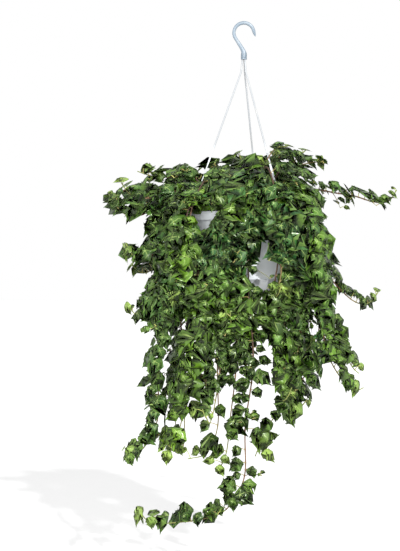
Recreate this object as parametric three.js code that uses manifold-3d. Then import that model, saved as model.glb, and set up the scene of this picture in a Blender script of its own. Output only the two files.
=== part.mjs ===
// An English ivy in a plastic hanging pot, on a three-strand plastic hanger with a hook.
// Millimetres, +Z up. The origin is the hook's seat, where the ring that it hangs on bears.
// The pot's height levels below are stated from its rim, which lies RIM_DROP under the seat.
// The view of the photograph looks along +Y, so -Y is the plant's front and +X its right.
import * as THREE from "three";
import { mergeVertices } from "three/addons/utils/BufferGeometryUtils.js";
import Module from "manifold-3d";

const wasm = await Module();
wasm.setup();

const RIM_DROP = 308;
const GAP = 0.35; // clearance between two pieces that touch

const COLOURS = {
  plastic: { color: 0xc3c8cd, roughness: 0.45, metalness: 0 },
  hook: { color: 0xb4bfc6, roughness: 0.35, metalness: 0 },
  strand: { color: 0xe6e8ea, roughness: 0.35, metalness: 0 },
  soil: { color: 0x2e221a, roughness: 0.95, metalness: 0 },
  ivy: { color: 0x2f5a24, roughness: 0.5, metalness: 0 },
};

const group = new THREE.Group();
group.name = "hanging_ivy";

// Meshes and solids

function solidOf(geometry) {
  const bare = new THREE.BufferGeometry();
  bare.setAttribute("position", geometry.getAttribute("position"));
  bare.setIndex(geometry.index);
  const merged = mergeVertices(bare, 1e-3);
  return new wasm.Manifold(
    new wasm.Mesh({
      numProp: 3,
      vertProperties: merged.attributes.position.array,
      triVerts: new Uint32Array(merged.index.array),
    }),
  );
}

function geometryOf(solid) {
  const mesh = solid.getMesh();
  const geometry = new THREE.BufferGeometry();
  geometry.setAttribute("position", new THREE.BufferAttribute(mesh.vertProperties, 3));
  geometry.setIndex(new THREE.BufferAttribute(mesh.triVerts, 1));
  return geometry;
}

function addPiece(name, solid, finish) {
  const mesh = new THREE.Mesh(geometryOf(solid), new THREE.MeshStandardMaterial(COLOURS[finish]));
  mesh.name = name;
  group.add(mesh);
}

// A profile of [radius, height] points, turned about +Z.
function turned(profile, segments) {
  const points = profile.map(([r, z]) => new THREE.Vector2(r, z));
  const geometry = new THREE.LatheGeometry(points, segments);
  return solidOf(geometry.rotateX(Math.PI / 2));
}

// A closed tube through rings. Each ring is { centre, across, deep }: two half-axis vectors of an ellipse.
function tubeOf(rings, sides) {
  const vertices = [];
  const faces = [];
  rings.forEach(({ centre, across, deep }) => {
    for (let k = 0; k < sides; k++) {
      const turn = (2 * Math.PI * k) / sides;
      const point = centre.clone().addScaledVector(across, Math.cos(turn)).addScaledVector(deep, Math.sin(turn));
      vertices.push(point.x, point.y, point.z);
    }
  });
  for (let i = 0; i + 1 < rings.length; i++) {
    for (let k = 0; k < sides; k++) {
      const a = i * sides + k;
      const b = i * sides + ((k + 1) % sides);
      faces.push(a, b, b + sides, a, b + sides, a + sides);
    }
  }
  const last = (rings.length - 1) * sides;
  for (let k = 1; k + 1 < sides; k++) {
    faces.push(0, k + 1, k);
    faces.push(last, last + k, last + k + 1);
  }
  const geometry = new THREE.BufferGeometry();
  geometry.setAttribute("position", new THREE.Float32BufferAttribute(vertices, 3));
  geometry.setIndex(faces);
  return solidOf(geometry);
}

const vector = (x, y, z) => new THREE.Vector3(x, y, z);
const UP = vector(0, 0, 1);
const radians = (degrees) => (degrees * Math.PI) / 180;
const fromAzimuth = (degrees) => vector(Math.cos(radians(degrees)), Math.sin(radians(degrees)), 0);

function box(width, depth, height, centre) {
  return solidOf(new THREE.BoxGeometry(width, depth, height).translate(centre.x, centre.y, centre.z));
}

function prism(radius, sides, top, bottom, x, y) {
  const geometry = new THREE.CylinderGeometry(radius, radius, top - bottom, sides).rotateX(Math.PI / 2);
  return solidOf(geometry.translate(x, y, (top + bottom) / 2));
}

// The pot: a tapered cup with a hollow rim band, a foot ring and four drain holes

const SEGMENTS = 28;
const RIM_RADIUS = 90;
const LIP = 2.2; // thickness of the lip on top of the rim band
const BAND_HEIGHT = 14;
const BAND_WALL = 1.6;
const WALL = 1.7;
const WALL_TOP_RADIUS = 85.3; // outside of the wall just under the lip
const BASE_RADIUS = 62.5; // outside of the wall at the base
const BASE_HEIGHT = -121;
const FOOT = { inner: 49, outer: 52.5, height: -126.7 };
const STRAND_AZIMUTHS = [72, 192, 312];
const SLOT = { radius: 86.5, radial: 2.6, tangential: 6.2 };

function makePot() {
  const profile = [
    [0, BASE_HEIGHT],
    [FOOT.inner, BASE_HEIGHT],
    [FOOT.inner, FOOT.height],
    [FOOT.outer, FOOT.height],
    [FOOT.outer, BASE_HEIGHT],
    [BASE_RADIUS, BASE_HEIGHT],
    [WALL_TOP_RADIUS, -LIP],
    [RIM_RADIUS - BAND_WALL, -LIP],
    [RIM_RADIUS - BAND_WALL - 0.3, -BAND_HEIGHT],
    [RIM_RADIUS - 0.8, -BAND_HEIGHT],
    [RIM_RADIUS, 0],
    [WALL_TOP_RADIUS - WALL, 0],
    [BASE_RADIUS - WALL, BASE_HEIGHT + WALL],
    [0, BASE_HEIGHT + WALL],
  ];
  let pot = turned(profile, SEGMENTS);
  for (const azimuth of STRAND_AZIMUTHS) {
    const slot = solidOf(
      new THREE.BoxGeometry(SLOT.radial, SLOT.tangential, 4 * LIP)
        .translate(SLOT.radius, 0, 0)
        .rotateZ(radians(azimuth)),
    );
    pot = pot.subtract(slot);
  }
  for (let k = 0; k < 4; k++) {
    const at = fromAzimuth(45 + 90 * k).multiplyScalar(30);
    pot = pot.subtract(prism(4, 6, BASE_HEIGHT + 2 * WALL, BASE_HEIGHT - WALL, at.x, at.y));
  }
  return pot;
}

// The drip saucer: snapped on the pot's base, the foot ring standing on its floor

const SAUCER = { lip: -109, floor: -127, bottom: -129.2, lipRadius: 68.8, bottomRadius: 63.6 };

function wallRadius(height) {
  const share = (height - BASE_HEIGHT) / (-LIP - BASE_HEIGHT);
  return BASE_RADIUS + share * (WALL_TOP_RADIUS - BASE_RADIUS);
}

function makeSaucer() {
  const gripRadius = wallRadius(SAUCER.lip) + GAP;
  const profile = [
    [0, SAUCER.bottom],
    [SAUCER.bottomRadius, SAUCER.bottom],
    [SAUCER.lipRadius, SAUCER.lip],
    [gripRadius, SAUCER.lip],
    [gripRadius, SAUCER.lip - 2.5],
    [SAUCER.lipRadius - 2.6, SAUCER.lip - 4.5],
    [SAUCER.bottomRadius - 1.6, SAUCER.floor],
    [0, SAUCER.floor],
  ];
  return turned(profile, SEGMENTS);
}

// The hook: a bar in the XZ plane that leaves its collar, bends aside and comes over the seat to a pointed tip

const HOOK = { arc: 16.4, bar: 3.3, depth: 2.7, collar: 5, collarTop: -45, collarBottom: -57 };
const SOCKET = { radius: 1.75, offset: 2.5, depth: 9 };

function makeHook() {
  const centreHeight = HOOK.bar - HOOK.arc;
  const stations = [
    { x: 0, z: HOOK.collarBottom, size: HOOK.collar },
    { x: 0, z: HOOK.collarTop - 1, size: 4.6 },
    { x: -2.4, z: HOOK.collarTop + 5, size: 3.9 },
    { x: -8.6, z: HOOK.collarTop + 15, size: HOOK.bar },
  ];
  for (let turn = 205; turn > 29; turn -= 16) {
    const angle = radians(turn);
    stations.push({
      x: HOOK.arc * Math.cos(angle),
      z: centreHeight + HOOK.arc * Math.sin(angle),
      size: HOOK.bar,
    });
  }
  stations.push({ x: 17.2, z: centreHeight - 1, size: 2.6 });
  stations.push({ x: 19.2, z: centreHeight - 7.5, size: 0.8 });
  const rings = stations.map(({ x, z, size }, i) => {
    const before = stations[Math.max(0, i - 1)];
    const after = stations[Math.min(stations.length - 1, i + 1)];
    const along = vector(after.x - before.x, 0, after.z - before.z).normalize();
    const deep = vector(0, -1, 0);
    const across = deep.clone().cross(along).normalize();
    const depth = Math.min(size, i < 2 ? size : HOOK.depth);
    return { centre: vector(x, 0, z), across: across.multiplyScalar(size), deep: deep.multiplyScalar(depth) };
  });
  let hook = tubeOf(rings, 8);
  for (const azimuth of STRAND_AZIMUTHS) {
    const at = fromAzimuth(azimuth).multiplyScalar(SOCKET.offset);
    const bottom = HOOK.collarBottom - 1;
    hook = hook.subtract(prism(SOCKET.radius, 6, HOOK.collarBottom + SOCKET.depth, bottom, at.x, at.y));
  }
  return hook;
}

// A hanger strand: a thin rod from the hook's collar that flattens to a tab, with a cross bar under the pot's lip

const STRAND = { radius: 1.25, tabHalfWidth: 2.4, tabHalfThickness: 0.9, tabLength: 75 };
const CROSS_BAR = { width: 8, thickness: 1.5, height: 3 };

function makeStrand(azimuth) {
  const out = fromAzimuth(azimuth);
  const side = fromAzimuth(azimuth + 90);
  const barTop = -LIP - GAP;
  const top = HOOK.collarBottom + SOCKET.depth - 1 + RIM_DROP;
  const mouth = HOOK.collarBottom + RIM_DROP;
  const station = (r, z, halfWidth, halfThickness) => ({
    centre: out.clone().multiplyScalar(r).addScaledVector(UP, z),
    across: out.clone().multiplyScalar(halfThickness),
    deep: side.clone().multiplyScalar(halfWidth),
  });
  const slope = (SLOT.radius - 4.5) / (mouth - 20 - 8);
  const radiusAt = (z) => SLOT.radius - (z - 8) * slope;
  const rod = STRAND.radius;
  const tab = [STRAND.tabHalfWidth, STRAND.tabHalfThickness];
  const rings = [
    station(SLOT.radius, barTop - 1, STRAND.tabHalfWidth, CROSS_BAR.thickness / 2),
    station(SLOT.radius, 4, ...tab),
    station(radiusAt(12), 12, ...tab),
    station(radiusAt(STRAND.tabLength), STRAND.tabLength, ...tab),
    station(radiusAt(STRAND.tabLength + 12), STRAND.tabLength + 12, rod, rod),
    station(radiusAt(mouth - 20), mouth - 20, rod, rod),
    station(SOCKET.offset + 0.3, mouth - 6, rod, rod),
    station(SOCKET.offset, top, rod, rod),
  ];
  const bar = solidOf(
    new THREE.BoxGeometry(CROSS_BAR.thickness, CROSS_BAR.width, CROSS_BAR.height)
      .translate(SLOT.radius, 0, barTop - CROSS_BAR.height / 2)
      .rotateZ(radians(azimuth)),
  );
  return tubeOf(rings, 6).add(bar);
}

// Seeded random numbers from 0 to 1, the same in every run

function seeded(seed) {
  let state = seed >>> 0;
  return () => {
    state = (state + 0x6d2b79f5) >>> 0;
    let t = Math.imul(state ^ (state >>> 15), state | 1);
    t ^= t + Math.imul(t ^ (t >>> 7), t | 61);
    return ((t ^ (t >>> 14)) >>> 0) / 4294967296;
  };
}

// The stems. A route is a list of [x, y, height over the rim] that the stem passes through, after its root.

const SOIL_TOP = -6;
const ROOT_DEPTH = 18;
const STEM_BASE = 2.0; // half-width of a stem at the soil
const STEM_TIP = 1.25;
const HOLE_RADIUS = 3.6;

// Stems whose own line shows against the background of the photograph, routed by hand
const SHOWN_STEMS = {
  left_reaching_stem: {
    root: [-66, 6],
    route: [
      [-84, 2, 36], [-128, -4, 24], [-165, -8, -3], [-190, -8, -4], [-207, -6, 8], [-222, -4, 32],
    ],
  },
  left_crown_stem: {
    root: [-56, 28],
    route: [
      [-80, 38, 52], [-120, 42, 60], [-150, 38, 62], [-176, 34, 70],
    ],
  },
  left_upper_arch: {
    root: [-60, -20],
    route: [
      [-86, -28, 28], [-122, -40, -10], [-140, -42, -52], [-156, -40, -78], [-172, -36, -80],
      [-184, -32, -66], [-193, -30, -50],
    ],
  },
  left_back_arch: {
    root: [-48, 46],
    route: [
      [-76, 56, 30], [-114, 66, -14], [-138, 64, -66], [-155, 56, -94], [-170, 50, -98],
      [-186, 46, -85],
    ],
  },
  left_lower_arch: {
    root: [-72, -9],
    route: [
      [-94, -11, 20], [-120, -15, -30], [-132, -17, -100], [-148, -16, -150], [-165, -14, -171],
      [-180, -12, -164], [-190, -10, -148],
    ],
  },
  left_long_stem: {
    root: [-52, -36],
    route: [
      [-80, -56, 28], [-108, -74, -30], [-112, -76, -110], [-122, -68, -180], [-140, -60, -250],
      [-138, -57, -320], [-152, -54, -365], [-176, -50, -392], [-196, -48, -396],
    ],
  },
  front_left_long_stem: {
    root: [-36, -54],
    route: [
      [-66, -72, 30], [-92, -88, -4], [-86, -98, -50], [-68, -102, -110], [-74, -100, -200],
      [-92, -88, -290], [-108, -78, -360], [-124, -74, -392],
    ],
  },
  front_small_leaf_stem: {
    root: [-14, -62],
    route: [
      [-11, -86, 26], [-14, -110, -22], [-36, -114, -76], [-46, -110, -150], [-44, -92, -270],
      [-44, -70, -345], [-62, -58, -388], [-92, -54, -398],
    ],
  },
  front_middle_long_stem: {
    root: [-3, -48],
    route: [
      [-3, -76, 40], [-4, -104, -4], [-10, -103, -120], [-14, -94, -240], [-24, -84, -330],
      [-30, -76, -385], [-44, -72, -418],
    ],
  },
  front_short_stem: {
    root: [24, -62],
    route: [
      [30, -84, 26], [33, -103, 0], [31, -108, -34],
    ],
  },
  front_right_short_stem: {
    root: [40, -56],
    route: [
      [52, -78, 30], [58, -98, -16], [55, -104, -70], [57, -100, -122],
    ],
  },
  tail_stem: {
    root: [6, -64],
    route: [
      [8, -84, 28], [6, -110, -20], [4, -116, -120], [12, -102, -240], [0, -86, -340],
      [0, -77, -415], [-12, -72, -450], [-34, -68, -480], [-72, -64, -494], [-110, -60, -499],
      [-140, -56, -501], [-160, -54, -494], [-170, -52, -476],
    ],
  },
  front_right_long_stem: {
    root: [50, -40],
    route: [
      [74, -58, 34], [104, -74, -20], [112, -70, -110], [124, -62, -190], [136, -56, -236],
      [158, -50, -272], [178, -47, -288], [192, -44, -284],
    ],
  },
  right_inward_stem: {
    root: [62, -22],
    route: [
      [90, -33, 30], [112, -42, -40], [122, -46, -150], [108, -60, -240], [68, -72, -300],
      [36, -72, -345], [16, -70, -392],
    ],
  },
  right_lower_stem: {
    root: [72, -14],
    route: [
      [96, -20, 28], [116, -26, -30], [124, -30, -110], [138, -34, -170], [156, -34, -215],
      [174, -32, -250], [186, -30, -262],
    ],
  },
  right_arch: {
    root: [70, 6],
    route: [
      [92, 8, 22], [112, 9, -30], [124, 8, -80], [146, 5, -112], [176, 3, -142], [196, 1, -150],
      [210, 0, -144], [220, -1, -130],
    ],
  },
  right_reaching_stem: {
    root: [60, 26],
    route: [
      [86, 24, 42], [126, 18, 38], [152, 15, 33], [182, 12, 28], [210, 10, 19], [232, 8, 17],
      [243, 6, 24], [251, 4, 38],
    ],
  },
  right_crown_stem: {
    root: [42, 40],
    route: [
      [68, 44, 66], [100, 42, 82], [134, 36, 87],
    ],
  },
  left_side_stem: {
    root: [-68, -28],
    route: [
      [-88, -34, 34], [-124, -38, 30], [-160, -36, 22], [-186, -32, 30], [-200, -30, 48],
    ],
  },
  front_left_short_stem: {
    root: [-26, -60],
    route: [
      [-34, -82, 26], [-44, -100, -14], [-50, -104, -60], [-46, -102, -104], [-40, -98, -140],
    ],
  },
  top_left_stem: {
    root: [8, 6],
    route: [
      [4, 8, 48], [-2, 6, 82], [-9, 2, 96],
    ],
  },
  top_middle_stem: {
    root: [30, -10],
    route: [
      [38, -10, 54], [46, -8, 88], [53, -4, 104],
    ],
  },
  top_right_stem: {
    root: [46, -2],
    route: [
      [64, 2, 56], [86, 6, 88], [103, 8, 104],
    ],
  },
};

// Stems that hang all round, by ring: how many, where they root, how high they rise, how far out they hang
const RINGS = [
  {
    name: "curtain_stem",
    count: 10,
    first: 24,
    root: 54,
    rise: [34, 58],
    reach: [104, 124],
    drop: 1,
    seed: 11,
  },
  {
    name: "skirt_stem",
    count: 10,
    first: 5,
    root: 38,
    rise: [48, 72],
    reach: [112, 132],
    drop: 0.45,
    seed: 37,
  },
];
const CROWN = {
  name: "crown_stem",
  count: 10,
  first: 20,
  root: 22,
  rise: [64, 96],
  reach: [40, 96],
  seed: 71,
};

// Degrees by which a stem is turned about the pot's axis to pass clear of its neighbour or of a strand
const TURNED = {
  curtain_stem_07: 12,
  curtain_stem_08: 19.5,
  curtain_stem_09: 7.5,
  curtain_stem_10: 1.5,
  skirt_stem_01: 6,
  skirt_stem_03: 3,
  skirt_stem_04: 1.5,
  skirt_stem_07: 4.5,
  skirt_stem_08: -4.5,
  skirt_stem_09: 4.5,
  crown_stem_10: 3,
};

const between = ([low, high], share) => low + (high - low) * share;

// How far the foliage hangs under the rim and how far out, by side: most at the left and the front
const DROP = { mean: 322, towardsLeft: 80, towardsFront: 26 };
const REACH_TOWARDS_LEFT = 8;
const WAIST = { all: 6, left: 12 }; // how much nearer the pot the stems hang halfway down, and more at the left
const CROWN_TOWARDS_RIGHT = 0.14; // the crown's share of extra height at its right

function polar(azimuth, radius, height) {
  const at = fromAzimuth(azimuth).multiplyScalar(radius);
  return [at.x, at.y, height];
}

function hangingStem(ring, index) {
  const random = seeded(ring.seed + index);
  const azimuth = ring.first + (360 * index) / ring.count + 8 * (random() - 0.5);
  const side = fromAzimuth(azimuth);
  const rise = between(ring.rise, random());
  const reach = between(ring.reach, random()) - side.x * REACH_TOWARDS_LEFT;
  const mostDrop = DROP.mean - side.x * DROP.towardsLeft - side.y * DROP.towardsFront;
  const drop = mostDrop * ring.drop * (0.8 + 0.35 * random());
  const swing = 22 * (random() - 0.5);
  const tuck = 34 * (random() - 0.6);
  const waist = WAIST.all + WAIST.left * Math.max(0, -side.x);
  const wander = (amount) => amount * (random() - 0.5);
  const rootAt = polar(azimuth, ring.root, 0);
  return {
    root: [rootAt[0], rootAt[1]],
    route: [
      polar(azimuth, 0.64 * reach, rise),
      polar(azimuth + 0.1 * swing, 0.92 * reach, 0.42 * rise),
      polar(azimuth + 0.3 * swing + wander(6), reach + wander(8), -0.22 * drop),
      polar(azimuth + 0.5 * swing + wander(10), reach + 0.3 * tuck + wander(16) - waist, -0.45 * drop),
      polar(azimuth + 0.75 * swing + wander(12), reach + 0.6 * tuck + wander(20), -0.73 * drop),
      polar(azimuth + swing, reach + tuck, -drop),
      polar(azimuth + 1.2 * swing, reach + tuck + 12, -drop + 3),
      polar(azimuth + 1.3 * swing, reach + tuck + 20, -drop + 17),
    ],
  };
}

function crownStem(index) {
  const random = seeded(CROWN.seed + index);
  const azimuth = CROWN.first + (360 * index) / CROWN.count + 14 * (random() - 0.5);
  const rise = between(CROWN.rise, random()) * (1 + CROWN_TOWARDS_RIGHT * fromAzimuth(azimuth).x);
  const reach = between(CROWN.reach, (index * 0.618) % 1);
  const rootAt = polar(azimuth, CROWN.root, 0);
  return {
    root: [rootAt[0], rootAt[1]],
    route: [
      polar(azimuth, 0.55 * reach, 0.6 * rise),
      polar(azimuth + 4, 0.85 * reach, 0.95 * rise),
      polar(azimuth + 8, 1.15 * reach, rise),
    ],
  };
}

function turnedStem({ name, root, route }) {
  const turn = radians(TURNED[name] ?? 0);
  const [cos, sin] = [Math.cos(turn), Math.sin(turn)];
  const turnPoint = ([x, y, ...height]) => [x * cos - y * sin, x * sin + y * cos, ...height];
  return { name, root: turnPoint(root), route: route.map(turnPoint) };
}

function plantStems() {
  const stems = Object.entries(SHOWN_STEMS).map(([name, stem]) => ({ name, ...stem }));
  const numbered = (name, index) => `${name}_${String(index + 1).padStart(2, "0")}`;
  for (const ring of RINGS) {
    for (let k = 0; k < ring.count; k++) stems.push({ name: numbered(ring.name, k), ...hangingStem(ring, k) });
  }
  for (let k = 0; k < CROWN.count; k++) stems.push({ name: numbered(CROWN.name, k), ...crownStem(k) });
  return stems.map((stem, index) => ({ ...turnedStem(stem), seed: 1000 + 97 * index }));
}

// A stem's centre line: stations at even steps along a smooth curve, joined by straight spans.
// at(s) gives the place and the direction at the length s from the root.

const FINE_STEPS = 12; // between two points of the route
const STEM_STEP = 38;

function centreLine(stem) {
  const [x, y] = stem.root;
  const points = [[x, y, SOIL_TOP + 3], [x, y, SOIL_TOP + 11], ...stem.route];
  const curve = new THREE.CatmullRomCurve3(points.map((p) => vector(...p)), false, "catmullrom", 0.5);
  const count = FINE_STEPS * (points.length - 1);
  const fine = Array.from({ length: count + 1 }, (_, i) => curve.getPoint(i / count));
  const travelled = [0];
  for (let i = 1; i <= count; i++) travelled.push(travelled[i - 1] + fine[i].distanceTo(fine[i - 1]));
  const steps = Math.ceil(travelled[count] / STEM_STEP);
  const stations = [vector(x, y, SOIL_TOP - ROOT_DEPTH), fine[0]];
  for (let k = 1, i = 1; k <= steps; k++) {
    const goal = (travelled[count] * k) / steps;
    while (i < count && travelled[i] < goal) i++;
    const share = (goal - travelled[i - 1]) / (travelled[i] - travelled[i - 1]);
    stations.push(fine[i - 1].clone().lerp(fine[i], share));
  }
  const last = stations.length - 1;
  const lengths = [0];
  for (let k = 1; k <= last; k++) lengths.push(lengths[k - 1] + stations[k].distanceTo(stations[k - 1]));
  const at = (s) => {
    let k = 1;
    while (k < last && lengths[k] < s) k++;
    const share = (s - lengths[k - 1]) / (lengths[k] - lengths[k - 1]);
    const direction = stations[k].clone().sub(stations[k - 1]).normalize();
    return { place: stations[k - 1].clone().lerp(stations[k], share), direction };
  };
  return { stations, at, length: lengths[last] };
}

const STEM_SIDES = 3;

function stemSolid({ stations }) {
  const last = stations.length - 1;
  let across = vector(1, 0, 0);
  const rings = stations.map((centre, i) => {
    const along = stations[Math.min(last, i + 1)].clone().sub(stations[Math.max(0, i - 1)]).normalize();
    across = across.clone().addScaledVector(along, -across.dot(along)).normalize();
    const size = STEM_BASE + (STEM_TIP - STEM_BASE) * (i / last);
    const deep = along.clone().cross(across).multiplyScalar(size);
    return { centre, across: across.clone().multiplyScalar(size), deep };
  });
  return tubeOf(rings, STEM_SIDES);
}

// The leaves. They alternate along a stem, each on a stalk that rises out of the plant, facing up and out.

const FIRST_LEAF = 42; // along the stem from its root end
const LEAF_SPACING = { base: 12.5, tip: 9.5 };
const BLADE_LENGTH = [18, 32];
const STALK_LENGTH = { range: [11, 27], shorterAtTip: 0.55 };
const YOUNG = { from: 0.86, share: 0.55 }; // leaves past this share of the stem are younger, down to this size
const WINDOW_MARGIN = 5;
const FRONT_WINDOWS = [
  { x: [-80, -50], height: [-34, 2] },
  { x: [14, 42], height: [-129, -42] },
];

function hidesWindow(point) {
  const inside = (value, [low, high]) => value > low - WINDOW_MARGIN && value < high + WINDOW_MARGIN;
  return point.y < -40 && FRONT_WINDOWS.some((w) => inside(point.x, w.x) && inside(point.z, w.height));
}

function leavesOf(stem, line) {
  const random = seeded(stem.seed);
  const leaves = [];
  let s = FIRST_LEAF;
  for (let index = 0; s < line.length - 1; index++) {
    const grown = s / line.length;
    const youth = Math.max(0, (grown - YOUNG.from) / (1 - YOUNG.from));
    const vigour = 1 - (1 - YOUNG.share) * youth ** 1.3;
    const draws = Array.from({ length: 10 }, () => random());
    const centred = draws.map((value) => value - 0.5);
    const jitter = (k, amount) => vector(...centred.slice(k, k + 3)).multiplyScalar(amount);
    const { place, direction } = line.at(s);
    const level = vector(direction.x, direction.y, 0);
    const out = vector(place.x, place.y, 0).addScaledVector(level, 20).normalize();
    const hand = index % 2 ? 1 : -1;
    const side = UP.clone().cross(out).multiplyScalar(hand);
    const above = Math.min(1, Math.max(0, (place.z + 30) / 60));
    const lift = Math.max(above, 0.5 * (1 - Math.abs(direction.z)) ** 2);
    const stalk = out.clone().multiplyScalar(0.75 - 0.5 * lift);
    stalk.addScaledVector(UP, 0.6 + 0.5 * lift).addScaledVector(side, 0.7).add(jitter(2, 0.6));
    stalk.addScaledVector(direction, -0.7 * stalk.dot(direction)).normalize();
    const facing = out.clone().multiplyScalar(0.9 - 0.4 * lift);
    facing.addScaledVector(UP, 0.45 + 0.4 * lift).addScaledVector(side, 0.25);
    facing.add(jitter(2, 1.3)).normalize();
    const rib = out.clone().multiplyScalar(0.3 + 0.4 * lift);
    rib.addScaledVector(UP, -0.85 + 0.8 * lift).addScaledVector(side, 0.7).add(jitter(5, 1.3));
    rib.addScaledVector(facing, -rib.dot(facing)).normalize();
    const stalkLength = between(STALK_LENGTH.range, draws[1]) * (1 - STALK_LENGTH.shorterAtTip * grown);
    const bladeLength = between(BLADE_LENGTH, draws[0]) * vigour;
    const base = place.clone().addScaledVector(stalk, stalkLength);
    const middle = base.clone().addScaledVector(rib, 0.4 * bladeLength);
    if (!hidesWindow(middle)) {
      leaves.push({ index, place, base, stalk, rib, facing, bladeLength, tone: draws[8], droop: draws[9] });
    }
    s += LEAF_SPACING.base + (LEAF_SPACING.tip - LEAF_SPACING.base) * grown;
  }
  return leaves;
}

// Half of a blade's outline: across, along and above the rib's base, as shares of the blade's length
const HALF_BLADE = [
  { across: 0.36, along: -0.17, above: 0.03 },
  { across: 0.54, along: 0.27, above: -0.07 },
  { across: 0.27, along: 0.5, above: 0.03 },
];
const TIP_DROOP = [0.04, 0.16];
const BLADE_THICKNESS = 0.8;
const STALK_HALF_WIDTH = 0.85;

// A blade on its three-sided stalk, as one closed solid with its stalk's root inside the stem
function leafSolid(leaf) {
  const { place, base, stalk, rib, facing, bladeLength } = leaf;
  const across = rib.clone().cross(facing).normalize();
  const half = facing.clone().multiplyScalar(BLADE_THICKNESS / 2);
  const onBlade = (u, v, w) => {
    const offset = across.clone().multiplyScalar(u).addScaledVector(rib, v).addScaledVector(facing, w);
    return base.clone().addScaledVector(offset, bladeLength);
  };
  const outline = [
    ...HALF_BLADE.map((p) => onBlade(p.across, p.along, p.above)),
    onBlade(0, 1, -between(TIP_DROOP, leaf.droop)),
    ...HALF_BLADE.toReversed().map((p) => onBlade(-p.across, p.along, p.above)),
  ];
  const stalkFacing = across.clone().cross(stalk).normalize();
  const stalkAcross = stalk.clone().cross(stalkFacing);
  const bend = facing.clone().add(stalkFacing).normalize().multiplyScalar(0.75);
  const vertices = [
    base.clone().addScaledVector(across, STALK_HALF_WIDTH).add(bend),
    base.clone().addScaledVector(across, -STALK_HALF_WIDTH).add(bend),
    base.clone().sub(bend),
    place.clone().addScaledVector(stalkAcross, 0.52).addScaledVector(stalkFacing, 0.3),
    place.clone().addScaledVector(stalkAcross, -0.52).addScaledVector(stalkFacing, 0.3),
    place.clone().addScaledVector(stalkFacing, -0.6),
    ...outline.map((p) => p.clone().add(half)),
    ...outline.map((p) => p.clone().sub(half)),
  ];
  const [topRight, topLeft, under, rootRight, rootLeft, rootUnder] = [0, 1, 2, 3, 4, 5];
  const count = outline.length;
  const top = (i) => 6 + i;
  const bottom = (i) => 6 + count + i;
  const tip = (count - 1) / 2;
  const faces = [];
  for (let i = 0; i + 1 < count; i++) {
    const corner = i < tip ? topRight : topLeft;
    faces.push(corner, top(i), top(i + 1));
    faces.push(under, bottom(i + 1), bottom(i));
    faces.push(top(i), bottom(i), bottom(i + 1), top(i), bottom(i + 1), top(i + 1));
  }
  faces.push(topRight, top(tip), topLeft);
  faces.push(topRight, under, bottom(0), topRight, bottom(0), top(0));
  faces.push(topLeft, top(count - 1), bottom(count - 1), topLeft, bottom(count - 1), under);
  faces.push(topLeft, rootLeft, rootRight, topLeft, rootRight, topRight);
  faces.push(topRight, rootRight, rootUnder, topRight, rootUnder, under);
  faces.push(under, rootUnder, rootLeft, under, rootLeft, topLeft);
  faces.push(rootLeft, rootUnder, rootRight);
  const geometry = new THREE.BufferGeometry();
  const coordinates = vertices.flatMap((v) => v.toArray());
  geometry.setAttribute("position", new THREE.Float32BufferAttribute(coordinates, 3));
  geometry.setIndex(faces);
  return solidOf(geometry);
}

// Placing the solids: every few leaves along a stem, each only where it is clear of all that stands

const LEAF_STRIDE = 5;
const MOST_LEAVES = 226;
const FINEST_DETAIL = 0.06;

function boxesMeet(a, b) {
  return [0, 1, 2].every((k) => a.min[k] < b.max[k] + GAP && b.min[k] < a.max[k] + GAP);
}

function isClear(solid, bounds, others) {
  const near = others.filter((other) => boxesMeet(bounds, other.bounds));
  return near.every((other) => solid.minGap(other.solid, 2 * GAP) > GAP);
}

function makePlant(carriers) {
  const stems = plantStems().map((stem) => {
    const line = centreLine(stem);
    const solid = stemSolid(line);
    return { ...stem, line, solid, bounds: solid.boundingBox(), leaves: leavesOf(stem, line), kept: [] };
  });
  const standing = carriers.map((solid) => ({ solid, bounds: solid.boundingBox() }));
  for (const stem of stems) standing.push({ solid: stem.solid, bounds: stem.bounds, stem: stem.name });
  let total = 0;
  for (let round = 0; round < LEAF_STRIDE; round++) {
    for (const stem of stems) {
      const last = stem.leaves.length - 1;
      for (let i = last - round; i >= 0; i -= LEAF_STRIDE) {
        const tooClose = stem.kept.some((k) => Math.abs(k - i) < LEAF_STRIDE - 1);
        if (total >= MOST_LEAVES || tooClose) continue;
        const solid = leafSolid(stem.leaves[i]);
        const bounds = solid.boundingBox();
        if (!isClear(solid, bounds, standing.filter((other) => other.stem !== stem.name))) continue;
        const joined = stem.solid.add(solid);
        if (joined.decompose().length > 1) continue;
        standing.push({ solid, bounds });
        stem.kept.push(i);
        stem.solid = joined;
        total++;
      }
    }
  }
  for (const stem of stems) stem.solid = stem.solid.simplify(FINEST_DETAIL);
  return stems;
}

// The soil: a low mound that fills the pot, with a plain hole for each stem

function makeMound() {
  const potFloor = BASE_HEIGHT + WALL;
  const taper = (WALL_TOP_RADIUS - BASE_RADIUS) / -potFloor;
  const inner = (height) => BASE_RADIUS - WALL - GAP + (height - potFloor) * taper;
  const floor = potFloor + GAP;
  const edge = SOIL_TOP - 4;
  const profile = [
    [0, floor],
    [inner(floor) - 0.5, floor],
    [inner(edge), edge],
    [50, SOIL_TOP],
    [0, SOIL_TOP],
  ];
  return turned(profile, SEGMENTS);
}

function makeSoil(mound, stems) {
  let soil = mound;
  const bottom = SOIL_TOP - ROOT_DEPTH - GAP;
  for (const { root } of stems) {
    soil = soil.subtract(prism(HOLE_RADIUS, 4, SOIL_TOP + 5, bottom, ...root));
  }
  return soil;
}

const fromRim = (solid) => solid.translate(0, 0, -RIM_DROP);

const pot = makePot();
const saucer = makeSaucer();
const hook = makeHook();
const strands = STRAND_AZIMUTHS.map(makeStrand);
const mound = makeMound();
const stems = makePlant([pot, saucer, mound, ...strands]);
const soil = makeSoil(mound, stems);

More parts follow.
